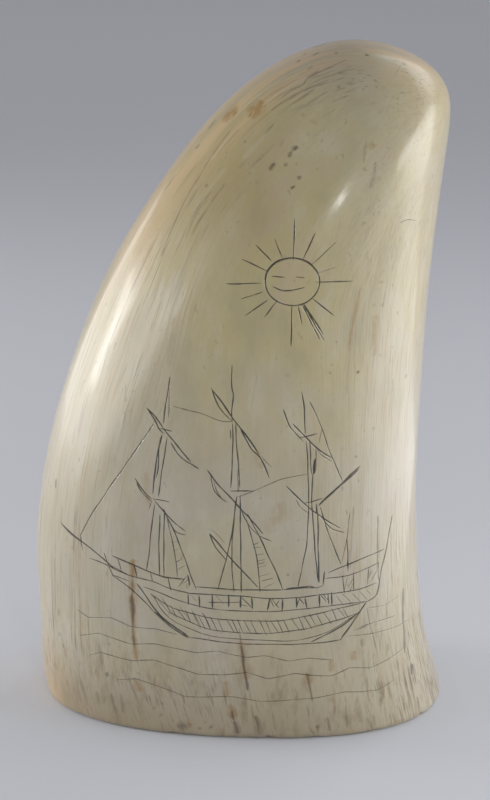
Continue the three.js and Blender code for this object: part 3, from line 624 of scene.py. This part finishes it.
def unrolled_strokes():
    """Vertices and edges of all strokes on the unrolled surface."""
    side_points = np.vstack([np.vstack(s["sides"]) for s in strokes])
    side_unrolled = unroll(*locate_front(side_points[:, 0], side_points[:, 2]))
    vertices = []
    edges = []
    taken = 0
    for stroke in strokes:
        count = len(stroke["line"])
        middle = unroll(*stroke["down_turn"])
        sides = [side_unrolled[taken + k * count:taken + (k + 1) * count] for k in (0, 1)]
        taken += 2 * count
        first = len(vertices)
        vertices.extend(middle)
        edges.extend((first + k, first + k + 1) for k in range(count - 1))
        for side in sides:
            if count < 3:
                continue
            start = len(vertices)
            vertices.extend(side[1:-1])
            chain = [first, *range(start, start + count - 2), first + count - 1]
            edges.extend(zip(chain, chain[1:]))
    return np.array(vertices), edges


def background_grid(stroke_vertices):
    """Points of the unrolled surface between the strokes and all along its border."""
    rows = np.sort(np.concatenate([np.linspace(FIRST_ROW, 1, ROWS), EDGE_ROWS]))
    grid = unroll(*np.meshgrid(rows, TURNS, indexing="ij")).reshape(-1, 2)
    border = np.zeros((len(rows), len(TURNS)), bool)
    border[[0, -1], :] = True
    border[:, [0, -1]] = True
    blocked = set()
    for du in (-1, 0, 1):
        for dv in (-1, 0, 1):
            cells = np.floor(stroke_vertices / CLEAR_OF_STROKES).astype(int) + (du, dv)
            blocked.update(map(tuple, cells))
    cells = map(tuple, np.floor(grid / CLEAR_OF_STROKES).astype(int))
    clear = np.array([cell not in blocked for cell in cells])
    return grid[border.ravel() | clear]


def distance_to_strokes(points):
    """For each point of the surface, how deep and how inked the strokes make it."""
    depth = np.zeros(len(points))
    marks = np.zeros((len(DEPTH_PER_WIDTH), len(points)))
    for stroke in strokes:
        line = stroke["points"]
        reach = stroke["width"]
        near = np.all((points > line.min(0) - reach) & (points < line.max(0) + reach), axis=1)
        index = np.nonzero(near)[0]
        if not len(index):
            continue
        spots = points[index][:, None, :]
        a = line[:-1][None]
        step = (line[1:] - line[:-1])[None]
        share = np.clip(((spots - a) * step).sum(-1) / (step * step).sum(-1), 0, 1)
        gap = np.linalg.norm(spots - a - share[..., None] * step, axis=-1)
        closest = gap.argmin(1)
        pick = np.arange(len(index))
        along = share[pick, closest]
        half = stroke["half"][:-1][closest] * (1 - along) + stroke["half"][1:][closest] * along
        inside = np.clip(1 - gap[pick, closest] / np.maximum(half, 1e-6), 0, 1)
        inside[half < THINNEST * stroke["width"]] = 0
        depth[index] = np.maximum(depth[index], inside * half * 2 * DEPTH_PER_WIDTH[stroke["kind"]])
        row = marks[stroke["kind"]]
        row[index] = np.maximum(row[index], inside * stroke["ink"])
    return depth, marks


def unevenness(down, turn):
    """Low waves that the hand polish left in the surface, in millimetres."""
    return (
        0.16 * np.sin(3 * turn + 9 * down) * np.sin(11 * down + 1)
        + 0.10 * np.sin(7 * turn - 15 * down + 2)
        + 0.06 * np.sin(13 * turn + 31 * down)
    ) * np.clip(down * 3, 0, 1) * np.clip((1 - down) * 12, 0, 1)


def cavity_ring(height):
    """The uneven wall of the pulp cavity at this height. Its mouth is rounded."""
    turn = TURNS[:-1]
    share = height / CAVITY["height"]
    size = (1 - share) ** CAVITY["taper"]
    flare = MOUTH_ROUND * max(0, 1 - height / MOUTH_ROUND) ** 2
    rough = 1 + 0.02 * np.sin(5 * turn + 9 * share) + 0.012 * np.sin(13 * turn + 23 * share)
    half_width = CAVITY["half_width"] * size * rough + flare
    half_depth = CAVITY["half_depth"] * size * rough + flare
    x = CAVITY["x"] + CAVITY["lean"] * share + half_width * np.sin(turn)
    y = -half_depth * np.cos(turn)
    return np.stack([x, y, np.full(SIDES, height)], axis=1)


def flat_base_and_cavity(rim):
    """Rings of points inwards from the rim of the base and up into the pulp cavity."""
    mouth = cavity_ring(0)
    rings = [rim + (mouth - rim) * k / BASE_RINGS for k in range(1, BASE_RINGS)]
    heights = CAVITY["height"] * np.linspace(0, 1, CAVITY_RINGS, endpoint=False) ** 1.1
    rings += [cavity_ring(height) for height in sorted([*heights, *MOUTH_HEIGHTS])]
    apex = np.array([[CAVITY["x"] + CAVITY["lean"], 0, CAVITY["height"]]])
    return rings, apex


# Where the outside, the sawn base and the cavity's wall lie in the texture.
UV_MARGIN = 0.005
UV_OUTSIDE_LOW = 0.17
UV_FRONT_SHARE = 0.68
UV_TIP = 0.999
UV_BASE = {"u": 0.13, "v": 0.085, "millimetres": 380}
UV_CAVITY = {"u": 0.27, "v": 0.01, "width": 0.7, "height": 0.14}


def outside_uv(down, turn):
    """The front half of the tooth takes most of the width, since the picture is there."""
    half = np.pi / 2
    front = 0.5 + UV_FRONT_SHARE / 2 * np.clip(turn, -half, half) / half
    back = (1 - UV_FRONT_SHARE) / 2 * (turn - np.clip(turn, -half, half)) / half
    u = UV_MARGIN + (1 - 2 * UV_MARGIN) * (front + back)
    v = UV_OUTSIDE_LOW + (1 - UV_MARGIN - UV_OUTSIDE_LOW) * (1 - down)
    return np.stack([u, v], axis=-1)


def base_uv(point):
    size = UV_BASE["millimetres"]
    return np.array([UV_BASE["u"] + point[0] / size, UV_BASE["v"] + point[1] / size])


def cavity_uv(step, k):
    u = UV_CAVITY["u"] + UV_CAVITY["width"] * k / SIDES
    return np.array([u, UV_CAVITY["v"] + UV_CAVITY["height"] * step / CAVITY_RINGS])


def outside_mesh():
    """Points, rows, turns, marks, triangles and grooves of the outside, with all strokes cut."""
    picture()
    for stroke in strokes:
        with_edges(stroke)
    stroke_vertices, stroke_edges = unrolled_strokes()
    grid = background_grid(stroke_vertices)
    flat = np.vstack([grid, stroke_vertices])
    edges = [(a + len(grid), b + len(grid)) for a, b in stroke_edges]
    result = delaunay_2d_cdt([Vector(p) for p in flat], edges, [], 0, 1e-5, False)
    flat = np.array([tuple(p) for p in result[0]])
    triangles = np.array(result[2])

    down = flat[:, 1] / UNROLLED_DOWN
    turn = flat[:, 0] / UNROLLED_TURN
    base = surface(down, turn)
    depth, marks = distance_to_strokes(base)
    depth[np.abs(turn) > LAST_STROKE_TURN] = 0
    points = base + surface_normal(down, turn) * (unevenness(down, turn) - depth)[:, None]
    points[:, 2] = np.maximum(points[:, 2], 0)
    return points, down, turn, marks, triangles, depth > SHALLOW


def mark_groove_borders(mesh, corners, in_groove):
    """Keeps the shading of the polished surface apart from that of the grooves cut in it."""
    edges = np.concatenate([corners[:, [0, 1]], corners[:, [1, 2]], corners[:, [2, 0]]])
    edges = np.sort(edges, axis=1)
    in_groove = np.tile(in_groove, 3)
    key = edges[:, 0] * len(mesh.vertices) + edges[:, 1]
    border = np.intersect1d(key[in_groove], key[~in_groove])
    ends = np.zeros(2 * len(mesh.edges), int)
    mesh.edges.foreach_get("vertices", ends)
    ends = np.sort(ends.reshape(-1, 2), axis=1)
    sharp = np.isin(ends[:, 0] * len(mesh.vertices) + ends[:, 1], border)
    mesh.attributes.new("sharp_edge", "BOOLEAN", "EDGE").data.foreach_set("value", sharp)


POLISHED, SAWN, CAVITY_WALL = range(3)


class Faces:
    """The tooth's faces, each with its corners' places in the texture and its material."""

    def __init__(self):
        self.corners = []
        self.uv = []
        self.material = []

    def add(self, corners, uv, material):
        self.corners.append([int(corner) for corner in corners])
        self.uv.append(uv)
        self.material.append(material)

    def add_outside(self, triangles, joined, uv):
        for triangle in triangles:
            self.add(joined[triangle], [uv[v] for v in triangle], POLISHED)

    def add_tip(self, ring, tip, joined, uv):
        for a, b in zip(ring, ring[1:]):
            top = np.array([(uv[a][0] + uv[b][0]) / 2, UV_TIP])
            self.add([tip, joined[b], joined[a]], [top, uv[b], uv[a]], POLISHED)

    def add_root(self, rim, first, ring_count, points):
        """The sawn base and the cavity's wall. The last point of all is the cavity's apex."""
        starts = [first + k * SIDES for k in range(ring_count)]
        loops = [rim, *(range(start, start + SIDES) for start in starts)]
        for step, (outer, inner) in enumerate(zip(loops, loops[1:])):
            rise = step - BASE_RINGS
            for k in range(SIDES):
                after = (k + 1) % SIDES
                corners = [outer[k], outer[after], inner[after], inner[k]]
                if rise < 0:
                    self.add(corners, [base_uv(points[v]) for v in corners], SAWN)
                else:
                    places = [(rise, k), (rise, k + 1), (rise + 1, k + 1), (rise + 1, k)]
                    self.add(corners, [cavity_uv(*place) for place in places], CAVITY_WALL)
        rise = len(loops) - 1 - BASE_RINGS
        for k in range(SIDES):
            corners = [loops[-1][k], loops[-1][(k + 1) % SIDES], len(points) - 1]
            places = [(rise, k), (rise, k + 1), (rise + 1, k + 0.5)]
            self.add(corners, [cavity_uv(*place) for place in places], CAVITY_WALL)


def ring_at(row, down, turn):
    """The points in one row, by their turn. Its last point lies on its first."""
    index = np.nonzero(np.isclose(down, row, atol=SAME))[0]
    return index[np.argsort(turn[index])]


def joined_back(down, turn):
    """Each point's own number, or at the right edge that of the same point at the left edge."""
    joined = np.arange(len(down))
    left = np.nonzero(np.isclose(turn, -np.pi, atol=SAME))[0]
    right = np.nonzero(np.isclose(turn, np.pi, atol=SAME))[0]
    joined[right[np.argsort(down[right])]] = left[np.argsort(down[left])]
    return joined


def root_grain(ring_count):
    """The direction of each point of the root's rings, and how far in its ring is, 1 to 2."""
    around = np.stack([np.sin(TURNS[:-1]), np.cos(TURNS[:-1])], axis=1)
    inwards = [np.full((SIDES, 1), 1 + (k + 1) / ring_count) for k in range(ring_count)]
    return [np.hstack([around, column]) for column in inwards]


def build_tooth():
    points, down, turn, marks, triangles, grooved = outside_mesh()
    uv = outside_uv(down, turn)
    joined = joined_back(down, turn)
    rim = ring_at(1, down, turn)[:-1]
    rings, apex = flat_base_and_cavity(points[rim])
    grain = np.vstack([
        along_fibres(points, down, turn), [[0, 0, 0]], *root_grain(len(rings)), [[0, 0, 2]],
    ])
    tip = len(points)
    points = np.vstack([points, surface(np.zeros(1), np.zeros(1)), *rings, apex])
    marks = np.hstack([marks, np.zeros((len(marks), len(points) - tip))])

    faces = Faces()
    faces.add_outside(triangles, joined, uv)
    faces.add_tip(ring_at(FIRST_ROW, down, turn), tip, joined, uv)
    faces.add_root(rim, tip + 1, len(rings), points)

    # Leave out the corners that the joining made spare.
    used = np.unique([corner for face in faces.corners for corner in face])
    renumber = np.full(len(points), -1)
    renumber[used] = np.arange(len(used))
    corners = [[int(renumber[v]) for v in face] for face in faces.corners]
    points = points[used]
    points[:, 0] += SHIFT_X
    mesh = bpy.data.meshes.new("tooth")
    mesh.from_pydata([tuple(p * MM) for p in points], [], corners)
    mesh.update()

    layer = mesh.uv_layers.new(name="OFBake")
    layer.data.foreach_set("uv", np.array([c for face in faces.uv for c in face], np.float32).ravel())
    attribute = mesh.attributes.new("grain", "FLOAT_VECTOR", "POINT")
    attribute.data.foreach_set("vector", grain[used].astype(np.float32).ravel())
    for name, values in (("ink", marks[INK]), ("stain", marks[STAIN]), ("ochre", marks[OCHRE])):
        attribute = mesh.attributes.new(name, "FLOAT", "POINT")
        attribute.data.foreach_set("value", values[used].astype(np.float32))
    mark_groove_borders(mesh, renumber[joined[triangles]], grooved[triangles].any(axis=1))
    # The unrolled surface is laid out mirrored, so its faces look inwards until they are turned.
    mesh.flip_normals()
    for material in (polished_ivory(), sawn_root(), cavity_wall()):
        mesh.materials.append(material)
    mesh.polygons.foreach_set("material_index", faces.material)
    mesh.polygons.foreach_set("use_smooth", [True] * len(corners))
    mesh.update()

    tooth = bpy.data.objects.new("scrimshaw_tooth", mesh)
    bpy.context.collection.objects.link(tooth)
    return tooth


class Look:
    """A material. Each socket is given as a plain value or as the output that feeds it."""

    def __init__(self, name, colour=None, **sockets):
        self.material = bpy.data.materials.new(name)
        self.material.use_nodes = True
        self.tree = self.material.node_tree
        self.shader = self.tree.nodes["Principled BSDF"]
        self.colour = colour
        self.feed(self.shader, sockets)

    def feed(self, node, sockets):
        """Sets sockets by name, with _ for each space, or by number after a leading _."""
        for key, value in sockets.items():
            socket = node.inputs[int(key[1:]) if key[0] == "_" else key.replace("_", " ")]
            if isinstance(value, bpy.types.NodeSocket):
                self.tree.links.new(value, socket)
            else:
                socket.default_value = value

    def add(self, kind, settings=None, **sockets):
        node = self.tree.nodes.new(kind)
        for key, value in (settings or {}).items():
            setattr(node, key, value)
        self.feed(node, sockets)
        return node

    def attribute(self, name, output="Fac"):
        return self.add("ShaderNodeAttribute", {"attribute_name": name}).outputs[output]

    def place(self):
        """Object coordinates in millimetres."""
        coordinates = self.add("ShaderNodeTexCoord").outputs["Object"]
        return self.stretched(coordinates, (1 / MM, 1 / MM, 1 / MM))

    def parts(self, vector):
        return self.add("ShaderNodeSeparateXYZ", Vector=vector).outputs

    def stretched(self, vector, factors):
        settings = {"operation": "MULTIPLY"}
        return self.add("ShaderNodeVectorMath", settings, _0=vector, _1=factors).outputs[0]

    def noise(self, vector, scale, detail=2.0, roughness=0.5, distortion=0.0):
        return self.add(
            "ShaderNodeTexNoise", Vector=vector, Scale=scale, Detail=detail,
            Roughness=roughness, Distortion=distortion,
        ).outputs["Fac"]

    def between(self, value, low, high, top=1.0):
        """0 where the value is at low, changing smoothly to top where it is at high."""
        settings = {"interpolation_type": "SMOOTHSTEP"}
        sockets = {"From Min": low, "From Max": high, "To Max": top}
        return self.add("ShaderNodeMapRange", settings, Value=value, **sockets).outputs["Result"]

    def calculate(self, operation, *values):
        """Works through the values two at a time, and keeps each result between 0 and 1."""
        settings = {"operation": operation, "use_clamp": True}
        result = values[0]
        for value in values[1:]:
            result = self.add("ShaderNodeMath", settings, _0=result, _1=value).outputs[0]
        return result

    def both(self, *masks):
        return self.calculate("MULTIPLY", *masks)

    def either(self, *masks):
        return self.calculate("MAXIMUM", *masks)

    def cover(self, colour, *masks):
        """Lays a colour over what is there, where all the masks are bright."""
        settings = {"data_type": "RGBA"}
        mask = self.both(*masks)
        node = self.add("ShaderNodeMix", settings, _0=mask, _6=self.colour, _7=colour)
        self.colour = node.outputs[2]

    def finish(self, roughness):
        self.feed(self.shader, {"Base Color": self.colour, "Roughness": roughness})
        return self.material

    def relief(self, height, strength, distance):
        bump = self.add("ShaderNodeBump", Height=height, Strength=strength, Distance=distance)
        self.feed(self.shader, {"Normal": bump.outputs["Normal"]})


GREY_CREAM = (0.53, 0.475, 0.365, 1)
OCHRE_CREAM = (0.56, 0.475, 0.25, 1)
PALE_CREAM = (0.66, 0.61, 0.475, 1)
SILVER_CREAM = (0.60, 0.56, 0.47, 1)
ROSY = (0.58, 0.455, 0.355, 1)
OLIVE = (0.42, 0.37, 0.22, 1)
HONEY = (0.36, 0.27, 0.11, 1)
TAN = (0.50, 0.40, 0.24, 1)
FIBRE_BROWN = (0.36, 0.28, 0.17, 1)
STREAK_BROWN = (0.17, 0.125, 0.075, 1)
TIP_GREY_AND_SHADE = (0.40, 0.35, 0.27, 1)
WARM_TINT_AND_PAINTED_LIGHT = (0.80, 0.55, 0.28, 1)
OCHRE_STAIN = (0.36, 0.205, 0.05, 1)
DARK_STAIN = (0.075, 0.05, 0.03, 1)
INK_BLACK = (0.018, 0.016, 0.014, 1)
CAVITY_BROWN = (0.46, 0.37, 0.24, 1)


def polished_ivory():
    look = Look(
        "polished_ivory", GREY_CREAM, IOR=1.54, Coat_Weight=0.5, Coat_Roughness=0.14,
        Subsurface_Weight=0.08, Subsurface_Radius=(1.0, 0.6, 0.35), Subsurface_Scale=0.001,
    )
    between, both = look.between, look.both
    place = look.place()
    x = look.parts(place)["X"]
    z = look.parts(place)["Z"]
    grain = look.attribute("grain", "Vector")
    across = look.parts(grain)["X"]
    cloud = look.noise(place, 0.05, 3)
    mottle = look.noise(look.stretched(place, (1, 1, 0.5)), 0.16, 4, 0.6)
    patch = look.noise(look.stretched(grain, (1, 1, 1.5)), 5.3, 3)
    band = look.noise(look.stretched(grain, (1, 1, 0.3)), 15, 3, 0.6)
    fibre = look.noise(look.stretched(grain, (1, 1, 0.2)), 80, 2, 0.6)
    streak = look.noise(look.stretched(grain, (1, 1, 0.13)), 36, 3, 0.55, 0.1)
    dash = look.noise(look.stretched(grain, (1, 1, 0.3)), 70, 3, 0.6, 0.2)
    fleck = look.noise(look.stretched(place, (1, 1, 0.6)), 0.9, 2)
    crust = look.noise(look.stretched(place, (1, 1, 0.35)), 0.42, 4, 0.65)

    # The tooth is yellowish towards the tip and greyer towards the root.
    yellowing = look.calculate("ADD", between(z, 42.0, 100.0, 0.8), between(cloud, 0.4, 0.62, 0.4))
    look.cover(OCHRE_CREAM, yellowing)
    look.cover(PALE_CREAM, between(mottle, 0.5, 0.7, 0.35))
    look.cover(ROSY, between(patch, 0.5, 0.7, 0.3))
    look.cover(OLIVE, between(mottle, 0.5, 0.32, 0.4))
    look.cover(HONEY, between(x, 16.0, -2.0), between(z, 96.0, 114.0, 0.5))

    # Bands of growth, which show on both flanks.
    left_flank = between(across, -0.3, -0.75)
    right_flank = between(x, 14.0, 27.0)
    flanks = look.either(left_flank, right_flank, 0.2)
    lower_left = both(left_flank, between(z, 105.0, 75.0))
    look.cover(SILVER_CREAM, look.either(lower_left, right_flank), 0.28)
    look.cover(TAN, between(band, 0.5, 0.66, 0.35), flanks)
    look.cover(PALE_CREAM, between(band, 0.46, 0.32, 0.2), flanks)

    # Fibres of the dentine, and brown grain where the surface has weathered.
    below_tip = between(z, 132.0, 104.0)
    look.cover(FIBRE_BROWN, between(fibre, 0.5, 0.75, 0.5), flanks, below_tip)
    tip = between(z, 122.0, 138.0)
    right_foot = both(between(x, 24.0, 35.0), between(z, 62.0, 22.0))
    weathered = look.either(both(left_flank, 0.8), tip, right_foot)
    patchy = between(mottle, 0.4, 0.6)
    look.cover(STREAK_BROWN, between(streak, 0.54, 0.7, 0.7), weathered, patchy)
    speckled = both(between(z, 126.0, 134.0), between(x, 25.0, 15.0))
    look.cover(STREAK_BROWN, between(streak, 0.5, 0.62, 0.6), speckled)

    # The foot is browner, with dashes and blotches, and darker along its lower edge in patches. Low down
    # at the left and middle it is darker still with painted shade near the floor.
    # Painted shade: darker low down near the floor, from the middle to the left.
    look.cover(FIBRE_BROWN, between(z, 20.0, 2.0, 0.5), between(x, 26.0, 8.0))
    look.cover(PALE_CREAM, between(streak, 0.5, 0.36, 0.5), right_foot)
    foot = look.either(between(z, 24.0, 4.0), right_foot)
    look.cover(STREAK_BROWN, between(dash, 0.5, 0.66, 0.75), foot, patchy)
    look.cover(FIBRE_BROWN, between(fleck, 0.64, 0.74, 0.55), patchy)
    look.cover(FIBRE_BROWN, between(crust, 0.48, 0.66, 0.75), between(z, 30.0, 3.0))
    look.cover(STREAK_BROWN, between(crust, 0.6, 0.74, 0.6), between(z, 22.0, 4.0))
    look.cover(
        FIBRE_BROWN, between(z, 9.0, 0.0, 0.5), between(cloud, 0.3, 0.6), between(x, 40.0, 24.0),
    )
    # Painted shade low down at the left corner, near the floor.
    look.cover(FIBRE_BROWN, between(z, 12.0, 2.0, 0.5), between(x, -12.0, -26.0))

    # The tip is grey at its left, and darker at its top with painted shade where it faces up. Its right,
    # the left shoulder and the left corner are warmer; on the left shoulder that warmth is painted light
    # from the left.
    # Grey tint with painted shade on the upward-facing top of the tip.
    look.cover(TIP_GREY_AND_SHADE, between(z, 128.0, 140.0, 0.8), between(x, 34.0, 16.0))
    uneven = between(patch, 0.3, 0.6, 0.6)
    look.cover(WARM_TINT_AND_PAINTED_LIGHT, between(x, 20.0, 38.0, 0.6), between(z, 127.0, 138.0), uneven)
    look.cover(WARM_TINT_AND_PAINTED_LIGHT, between(x, -34.0, -41.0, 0.7), between(z, 20.0, 4.0), uneven)
    # Painted warm light on the left shoulder, where the light from the left falls.
    look.cover(WARM_TINT_AND_PAINTED_LIGHT, between(across, -0.72, -0.95), between(z, 70.0, 100.0, 0.6), uneven)

    # Stains, and the ink in the engraved lines.
    ochre = both(look.attribute("ochre"), between(fleck, 0.85, 0.4))
    stain = both(look.attribute("stain"), between(fibre, 0.9, 0.35))
    ink = both(look.attribute("ink"), between(fleck, 1.2, 0.4))
    look.cover(OCHRE_STAIN, between(ochre, 0.0, 0.75, 0.75))
    look.cover(DARK_STAIN, between(stain, 0.0, 0.9, 0.8))
    look.cover(INK_BLACK, between(ink, 0.05, 0.7, 0.92))

    ridges = both(look.calculate("ADD", both(fibre, 0.5), both(band, 0.5)), below_tip)
    look.relief(ridges, 0.4, 0.0003)
    worn = look.calculate("ADD", both(fibre, 0.5), both(weathered, 0.3))
    limits = {"To Min": 0.24, "To Max": 0.5}
    roughness = look.add("ShaderNodeMapRange", Value=worn, **limits).outputs["Result"]
    return look.finish(roughness)


def sawn_root():
    look = Look("sawn_root", GREY_CREAM)
    place = look.place()
    grain = look.attribute("grain", "Vector")
    layers = look.noise(look.stretched(grain, (0.6, 0.6, 9.0)), 3, 2)
    pores = look.noise(place, 1.1, 4, 0.65)
    sawing = look.noise(look.stretched(place, (0.12, 1, 1)), 1.6, 2)
    look.cover(FIBRE_BROWN, look.between(layers, 0.45, 0.65, 0.5))
    look.cover(STREAK_BROWN, look.between(pores, 0.55, 0.75, 0.6))
    look.relief(look.calculate("ADD", look.both(sawing, 0.6), look.both(pores, 0.4)), 0.5, 0.0003)
    return look.finish(look.between(pores, 0.3, 1.2, 0.9))


def cavity_wall():
    look = Look("cavity_wall", CAVITY_BROWN)
    grain = look.attribute("grain", "Vector")
    rings = look.noise(look.stretched(grain, (0.5, 0.5, 6.0)), 5, 3)
    crust = look.noise(look.place(), 0.6, 4, 0.6)
    look.cover(FIBRE_BROWN, look.between(rings, 0.4, 0.65, 0.7))
    look.cover(STREAK_BROWN, look.between(crust, 0.5, 0.7, 0.6))
    look.relief(look.calculate("ADD", look.both(rings, 0.6), look.both(crust, 0.4)), 0.5, 0.0006)
    return look.finish(look.between(crust, 0.2, 1.1, 0.95))


# Camera, as in the photograph: from a little above, level across, about half a metre away.
# Its place is in millimetres, as the tooth's is.
CAMERA_ELEVATION = 16.6
CAMERA_DISTANCE = 530
AIM = (0.85 + SHIFT_X, 0, 64.5)
FOCAL_PIXELS = 2525
FRAME_HEIGHT = 800
SENSOR = 36


def camera():
    elevation = math.radians(CAMERA_ELEVATION)
    back = Vector((0, -math.cos(elevation), math.sin(elevation)))
    data = bpy.data.cameras.new("camera")
    data.sensor_width = SENSOR
    data.sensor_fit = "AUTO"
    data.lens = FOCAL_PIXELS * SENSOR / FRAME_HEIGHT
    item = bpy.data.objects.new("camera", data)
    item.location = (Vector(AIM) + back * CAMERA_DISTANCE) * MM
    item.rotation_euler = back.to_track_quat("Z", "Y").to_euler()
    bpy.context.collection.objects.link(item)
    bpy.context.scene.camera = item


MIDDLE = (0, 0, 0.075)
DAYLIGHT = (1, 0.99, 0.98)
WHITE = (1, 1, 1)
# Each lamp: name, place, what it faces, width and height, power, colour and roll in degrees.
LAMPS = [
    ("left_window", (-0.5, 0.1, 0.15), MIDDLE, (0.15, 0.13), 0.46, DAYLIGHT, 0),
    ("left_room", (-0.57, -0.03, 0.06), MIDDLE, (0.66, 0.4), 2.25, DAYLIGHT, 0),
    ("left_back", (-0.39, 0.34, 0.1), MIDDLE, (0.24, 0.2), 0.3, DAYLIGHT, 0),
    ("right_window", (0.52, 0.0, 0.12), MIDDLE, (0.34, 0.36), 1.2, DAYLIGHT, 0),
    ("right_front", (0.465, -0.235, 0.16), MIDDLE, (0.18, 0.16), 0.4, DAYLIGHT, 0),
    ("right_floor", (0.28, 0.03, 0.004), (0.28, 0.03, 1), (0.34, 0.2), 0.24, DAYLIGHT, 0),
    ("right_top", (0.3, 0.28, 0.43), MIDDLE, (0.35, 0.25), 0.42, WHITE, 0),
    ("sparkle", (0.084, -0.52, 0.212), MIDDLE, (0.08, 0.022), 0.18, WHITE, -45),
]
ROOM_COLOUR = (0.97, 0.98, 1.0, 1)
ROOM_STRENGTH = 0.315


def area_light(name, place, target, size, energy, colour, roll):
    data = bpy.data.lights.new(name, "AREA")
    data.shape = "RECTANGLE"
    data.size = size[0]
    data.size_y = size[1]
    data.energy = energy
    data.color = colour
    item = bpy.data.objects.new(name, data)
    item.location = place
    item.rotation_euler = (Vector(place) - Vector(target)).to_track_quat("Z", "Y").to_euler()
    item.rotation_euler.rotate_axis("Z", math.radians(roll))
    bpy.context.collection.objects.link(item)


def lights():
    for lamp in LAMPS:
        area_light(*lamp)
    world = bpy.data.worlds.new("studio")
    world.use_nodes = True
    world.node_tree.nodes["Background"].inputs["Color"].default_value = ROOM_COLOUR
    world.node_tree.nodes["Background"].inputs["Strength"].default_value = ROOM_STRENGTH
    bpy.context.scene.world = world


# The paper's colour under the tooth, then painted shading: darker just behind the tooth and lighter far
# behind it, which offsets how the lamps' light falls off across the sheet.
PAPER_NEAR = (0.78, 0.805, 0.875, 1)
PAPER_SHADED_BEHIND = (0.71, 0.71, 0.77, 1)
PAPER_LIT_FAR_BACK = (0.90, 0.905, 0.95, 1)
PAPER_WIDTH = 3.2
PAPER_FRONT = -1.6
# Where the sheet starts to curve up, how tightly, in how many steps, and where it ends.
PAPER_BACK = 1.1
PAPER_RADIUS = 0.5
PAPER_STEPS = 16
PAPER_TOP = 1.5


def backdrop():
    """A pale sheet that lies under the tooth and curves up behind it."""
    profile = [(PAPER_FRONT, 0), (PAPER_BACK, 0)]
    for k in range(1, PAPER_STEPS + 1):
        angle = math.pi / 2 * k / PAPER_STEPS
        y = PAPER_BACK + PAPER_RADIUS * math.sin(angle)
        profile.append((y, PAPER_RADIUS * (1 - math.cos(angle))))
    profile.append((PAPER_BACK + PAPER_RADIUS, PAPER_TOP))
    points = [(side * PAPER_WIDTH / 2, y, z) for y, z in profile for side in (-1, 1)]
    faces = [(2 * k, 2 * k + 1, 2 * k + 3, 2 * k + 2) for k in range(len(profile) - 1)]
    mesh = bpy.data.meshes.new("backdrop")
    mesh.from_pydata(points, [], faces)
    mesh.polygons.foreach_set("use_smooth", [True] * len(faces))
    look = Look("backdrop_paper", PAPER_NEAR)
    depth = look.parts(look.place())["Y"]
    # Painted shading on the paper: darker behind the tooth, lighter far back.
    look.cover(PAPER_SHADED_BEHIND, look.between(depth, -20.0, 150.0))
    look.cover(PAPER_LIT_FAR_BACK, look.between(depth, 400.0, 1000.0))
    mesh.materials.append(look.finish(0.9))
    sheet = bpy.data.objects.new("backdrop", mesh)
    bpy.context.collection.objects.link(sheet)


camera()
tooth = build_tooth()
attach(tooth, "root")
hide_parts(NODE)
backdrop()
lights()
bpy.context.scene.view_settings.view_transform = "Standard"
